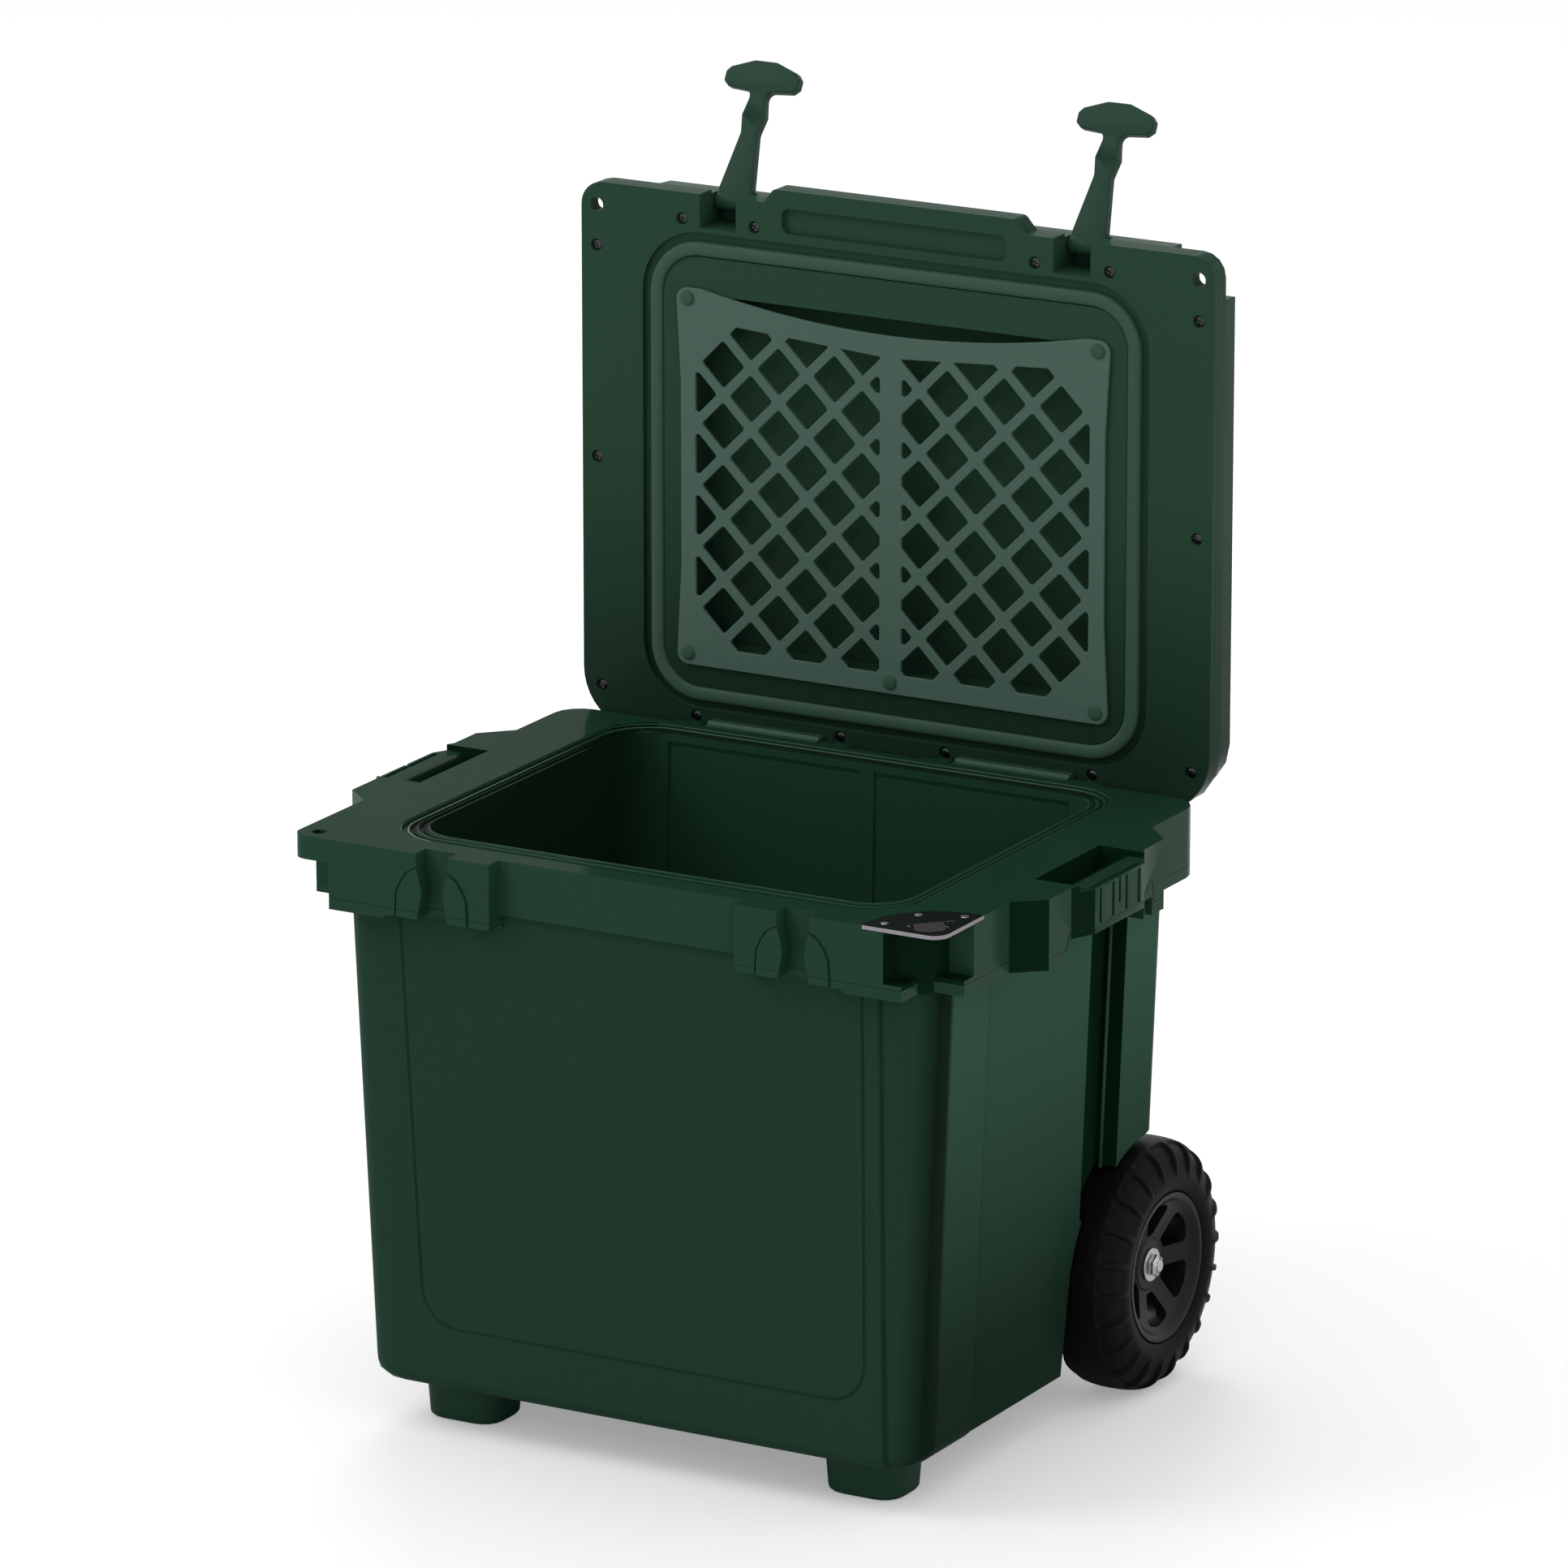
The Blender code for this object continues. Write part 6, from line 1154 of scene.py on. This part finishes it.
# %% [markdown]
# The corner plate is steel with a black coat on top, and its slot opens bottles. Its cut edges
# stay bare and catch the light, so the upright faces get the steel finish, which is simpler than
# two pieces. A dull tongue lies in the slot, and bright half rings show where the slot ends.

# %% Corner plate and its screws
PLATE_CORNER = Vector((0.265, -0.189))
PLATE_SCREWS = [PLATE_CORNER + Vector(p) for p in ((-0.0515, 0.012), (-0.041, 0.042), (-0.0105, 0.0535))]


def is_upright(middle, normal):
    return abs(normal.z) < 0.5


plate = clean_copy("opener_plate", "corner_plate")
round_edges(plate, 0.0004, 2)
coat(plate, plate_black)
coat_where(plate, edge_steel, is_upright)
stand_for(plate, "cooler_body", "plate_steel", "corner_plate")


def tongue():
    corners = [(0.2316, -0.1686, 0.002), (0.2477, -0.1528, 0.002), (0.2588, -0.1709, 0.003),
               (0.2514, -0.1812, 0.004), (0.2397, -0.1816, 0.003)]
    piece = slab("opener_tongue", rounded(corners, 6), DECK - 0.0029, DECK + 0.0001, SHUT)
    round_edges(piece, 0.0004, 2)
    # The tongue's dark dull tone is steel with the slot's shade painted in.
    coat(piece, tongue_steel_in_painted_shade)
    stand_for(piece, "cooler_body", "plate_steel")


RING_R, RING_DOWN, RING_STEPS = 0.0024, 0.0007, 8


def slot_ends():
    rings = []
    for x, y, turn in ((0.2326, -0.1735, 2.0), (0.2519, -0.1513, 0.6)):
        angles = [turn + pi * k / RING_STEPS for k in range(RING_STEPS + 1)]
        path = [Vector((x + RING_R * cos(a), y + RING_R * sin(a), DECK - RING_DOWN)) for a in angles]
        rings.append(tube("slot_ends", path, 0.0008, (0, 0, 1)))
    carve(rings[0], rings[1:], "UNION")
    rings[0].data.shade_smooth()
    coat(rings[0], bare_steel)
    stand_for(rings[0], "cooler_body", "plate_steel")


tongue()
slot_ends()
plate_screws = copies("plate_screws", screw_unit(0.0026),
                      [SHUT @ Matrix.Translation((p.x, p.y, DECK - 0.0012)) for p in PLATE_SCREWS],
                      bare_steel, twist=FITTER_TWIST, seed=5)
stand_for(plate_screws, "cooler_body", "bare_steel", *["plate_screw_%d" % k for k in (1, 2, 3)])

# %% [markdown]
# A stretch latch is one rubber moulding: a round eye on its pin, an arm that swells once and
# thins again, and a T head that hooks under the keeper. Its outline is drawn down from the pin,
# and a wide bevel gives the sloping edges of the real one. The eye is turned and joined on.

# %% Latches
ARM = [(0.0138, -0.002, 0), (0.0138, 0.009, 0.002), (0.0069, 0.052, 0.010), (0.0096, 0.0655, 0.0015),
       (0.0069, 0.078, 0.006), (0.0067, 0.084, 0.005), (0.0265, 0.0855, 0.003), (0.031, 0.0895, 0.002),
       (0.031, 0.097, 0.003), (0.0275, 0.101, 0.003), (0.009, 0.1075, 0.008)]
ARM_HALF = 0.00425      # half its thickness
EYE = [(0.0045, -0.0138), (0.0058, -0.0134), (0.0065, -0.0122), (0.0065, 0.0122), (0.0058, 0.0134),
       (0.0045, 0.0138)]
BORE_R = 0.0027


def latch_piece(side, word):
    corners = [(side * LATCH_X + x, PIN_Z - s, r) for x, s, r in ARM]
    corners += [(side * LATCH_X - x, PIN_Z - s, r) for x, s, r in reversed(ARM)]
    arm = prism_y("latch_arm_" + word, [(p.x, p.y) for p in rounded(corners, 6)],
                  PIN_Y - ARM_HALF, PIN_Y + ARM_HALF, HANGING)
    round_edges(arm, 0.0021, 3, 40)
    pin = along_x(HANGING, side * LATCH_X, PIN_Y, PIN_Z)
    carve(arm, [turned("eye", EYE, pin, 36)], "UNION")
    carve(arm, [turned("bore", [(BORE_R, -0.02), (BORE_R, 0.02)], pin, 24)])
    crisp(arm, 50)
    coat(arm, green_rubber)
    stand_for(arm, "latch_" + word, "rubber_green", "latch_" + word)


for side, word in SIDES:
    latch_piece(side, word)

# %% [markdown]
# A tyre's section is turned about the axle, and twenty-two sunk pockets on each shoulder leave
# narrow ribs between them. They could be cut with Booleans, but those leave ragged edges on a
# doubly curved wall. So each point is pushed in by how far it lies inside a rounded rectangle,
# and one rule gives every pocket round corners and soft walls. The section and the pockets are
# in millimetres.

# %% Tyres
AXLE_Y, TYRE_R, TYRE_X, LUGS = 0.189, 0.094, 0.221, 22
SECTION = [(0, 94), (6, 93.9), (11, 93.5), (15, 92.8), (16.4, 92.5), (17.1, 92.3), (17.8, 92.05),
           (18.6, 91.8), (20, 91.1), (22, 89.9), (24, 88.3), (26, 86.1), (27.8, 83.4), (29.2, 80.4),
           (30.1, 77.3), (30.7, 74), (31, 71), (31, 68), (30.7, 65), (30.2, 62.5), (29.2, 59.5),
           (28, 57.4), (27, 56.7)]
AROUND = (0.0, 0.04, 0.07, 0.085, 0.1, 0.115, 0.14, 0.2, 0.35, 0.5, 0.65, 0.8, 0.86, 0.885, 0.9, 0.915,
          0.93, 0.96)
POCKET_TOP, POCKET_IN, POCKET_END = 92.2, 17.2, 66      # where a pocket starts and fades out
POCKET_WIDE, POCKET_CORNER, POCKET_DEPTH, POCKET_WALL = 0.405, 3.0, 2.4, 0.9


def soft_step(value):
    value = max(0.0, min(1.0, value))
    return value * value * (3 - 2 * value)


def pocket_depth(x, r, share):
    """How deep the tread is sunk at a place across the section and a share of one lug's pitch."""
    pitch = 2 * pi * r / LUGS
    down = max(0.0, POCKET_TOP - r) + max(0.0, abs(x) - POCKET_IN) * 0.6
    across = abs(share - 0.5) * pitch
    a = max(0.0, POCKET_CORNER - down)
    b = max(0.0, across - POCKET_WIDE * pitch + POCKET_CORNER)
    outside = (a * a + b * b) ** 0.5 - POCKET_CORNER
    fade = soft_step((r - POCKET_END) / 12) * (abs(x) > 16.9)
    return POCKET_DEPTH * soft_step(0.5 - outside / POCKET_WALL) * fade


def tyre_piece(side, word):
    half = [Vector((x, r)) for x, r in SECTION]
    section = [Vector((-p.x, p.y)) for p in reversed(half[1:])] + half
    outward = []
    for k in range(len(section)):
        along = section[min(k + 1, len(section) - 1)] - section[max(k - 1, 0)]
        outward.append(Vector((-along.y, along.x)).normalized())
    loops = []
    for lug in range(LUGS):
        for share in AROUND:
            angle = 2 * pi * (lug + share) / LUGS
            loop = []
            for p, n in zip(section, outward):
                q = (p - n * pocket_depth(p.x, p.y, share)) / 1000
                loop.append((side * (TYRE_X + q.x), AXLE_Y + q.y * cos(angle), TYRE_R + q.y * sin(angle)))
            loops.append(loop)
    tyre = solid("tyre_tread_" + word, loops, SHUT, closed=True)
    crisp(tyre, 60)
    coat(tyre, tyre_rubber)
    stand_for(tyre, "wheel_" + word, "tyre_black", "tyre_" + word)


# %% [markdown]
# The hub is a dished disc with six tapered windows. Its section is turned about the axle, which
# is quicker than modelling it by hand, then the windows are cut and the edges rounded. The nut,
# the washer and the axle's end are bright steel and turned too. A nut is a disc of six sides.

# %% Hubs, nuts and axles
HUB = [(0.0564, 0.1945), (0.0564, 0.2478), (0.0556, 0.2490), (0.0528, 0.2490), (0.0512, 0.2478),
       (0.0490, 0.2446), (0.0460, 0.2425), (0.0200, 0.2337), (0.0190, 0.2345), (0.0180, 0.2350),
       (0.0063, 0.2350), (0.0063, 0.1855), (0.0180, 0.1855), (0.0180, 0.2255), (0.0460, 0.2345),
       (0.0507, 0.1945)]
WINDOW = [(0.0225, -0.20, 0.0018), (0.0455, -0.37, 0.0045), (0.0468, 0, 0.02), (0.0455, 0.37, 0.0045),
          (0.0225, 0.20, 0.0018)]       # distance from the axle, turn and corner radius
WINDOWS = 6
AXLE = [(0.0100, 0.1682), (0.0100, 0.1805), (0.0216, 0.1805), (0.0220, 0.1809), (0.0220, 0.1844),
        (0.0216, 0.1848), (0.0060, 0.1848), (0.0060, 0.2412), (0.0052, 0.2418), (0.0046, 0.2424),
        (0.0046, 0.2432), (0.0040, 0.2437)]
WASHER = [(0.0065, 0.2350), (0.0122, 0.2350), (0.0125, 0.2353), (0.0125, 0.2367), (0.0122, 0.2370),
          (0.0065, 0.2370)]
NUT = [(0.0085, 0.2373), (0.0085, 0.2412), (0.0077, 0.2418)]


def wheel_place(side):
    return along_x(SHUT, 0, AXLE_Y, TYRE_R, side)


def hub_window(middle):
    return rounded([(r * cos(middle + a), r * sin(middle + a), corner) for r, a, corner in WINDOW], 6)


def hub_piece(side, word):
    hub = turned("hub_disc_" + word, HUB, wheel_place(side), 72, closed=True)
    place = wheel_place(side) @ Matrix.Rotation(radians(-90 * side), 4, "Z")
    carve(hub, [slab("window", hub_window(2 * pi * (k + 0.5) / WINDOWS), 0.15, 0.26, place)
                for k in range(WINDOWS)])
    round_edges(hub, 0.0008, 2, 40)
    coat(hub, black_plastic)
    stand_for(hub, "wheel_" + word, "black_plastic", "hub_" + word)


def wheel_metal(side, word):
    place = wheel_place(side)
    axle = turned("axle_stub_" + word, AXLE, place, 40)
    washer = turned("axle_ring_" + word, WASHER, place, 48, closed=True)
    nut = turned("axle_hex_" + word, NUT, place, 6)
    carve(nut, [turned("thread", [(0.0062, 0.23), (0.0062, 0.25)], place, 32)])
    round_edges(nut, 0.0003, 2)
    for piece, node in ((axle, "axle_"), (washer, "axle_washer_"), (nut, "axle_nut_")):
        crisp(piece, 30)
        coat(piece, bare_steel)
        stand_for(piece, "cooler_body", "bare_steel", node + word)


for side, word in SIDES:
    tyre_piece(side, word)
    hub_piece(side, word)
    wheel_metal(side, word)

# %% [markdown]
# The rest is plain: rubber feet with round edges, and at the back the pull handle with its
# housing, tubes, grip and button. The drain fitting and its plug sit low on the left side. Their
# nodes have the right shapes, so they only get round edges, and the tubes are turned anew with
# more sides.

# %% Feet, pull handle and drain
for word in ("left", "right"):
    finer("foot_pad_" + word, "foot_" + word, "cooler_body", "foot_green", foot_rubber, 0.0025, 4)
for name, node, body, slot, finish, width in (
        ("handle_cover", "handle_housing", "cooler_body", "black_plastic", black_plastic, 0.0014),
        ("handle_bar", "pull_grip", "handle_grip", "black_plastic", black_plastic, 0.0016),
        ("handle_button", "release_button", "release_button", "button_grey", button_grey, 0.0008),
        ("drain_flange", "drain_fitting", "cooler_body", "black_plastic", black_plastic, 0.0006),
        ("drain_cap", "drain_plug", "drain_plug", "black_plastic", black_plastic, 0.0009)):
    finer(name, node, body, slot, finish, width)


TUBE_WALL, TUBE_EDGE = 0.0012, 0.0004


def round_tube(name, node, body, r):
    low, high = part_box(node)
    place = Matrix.Translation(((low[0] + high[0]) / 2, (low[1] + high[1]) / 2, 0))
    piece = turned(name, [(r, low[2]), (r, high[2] - TUBE_EDGE), (r - TUBE_EDGE, high[2]),
                          (r - TUBE_WALL, high[2]), (r - TUBE_WALL, low[2])], place, 40, closed=True)
    crisp(piece, 40)
    coat(piece, tube_metal)
    stand_for(piece, body, "tube_metal", node)


for word in ("left", "right"):
    round_tube("outer_tube_" + word, "middle_tube_" + word, "handle_middle", 0.0105)
    round_tube("inner_tube_" + word, "grip_tube_" + word, "handle_grip", 0.0090)
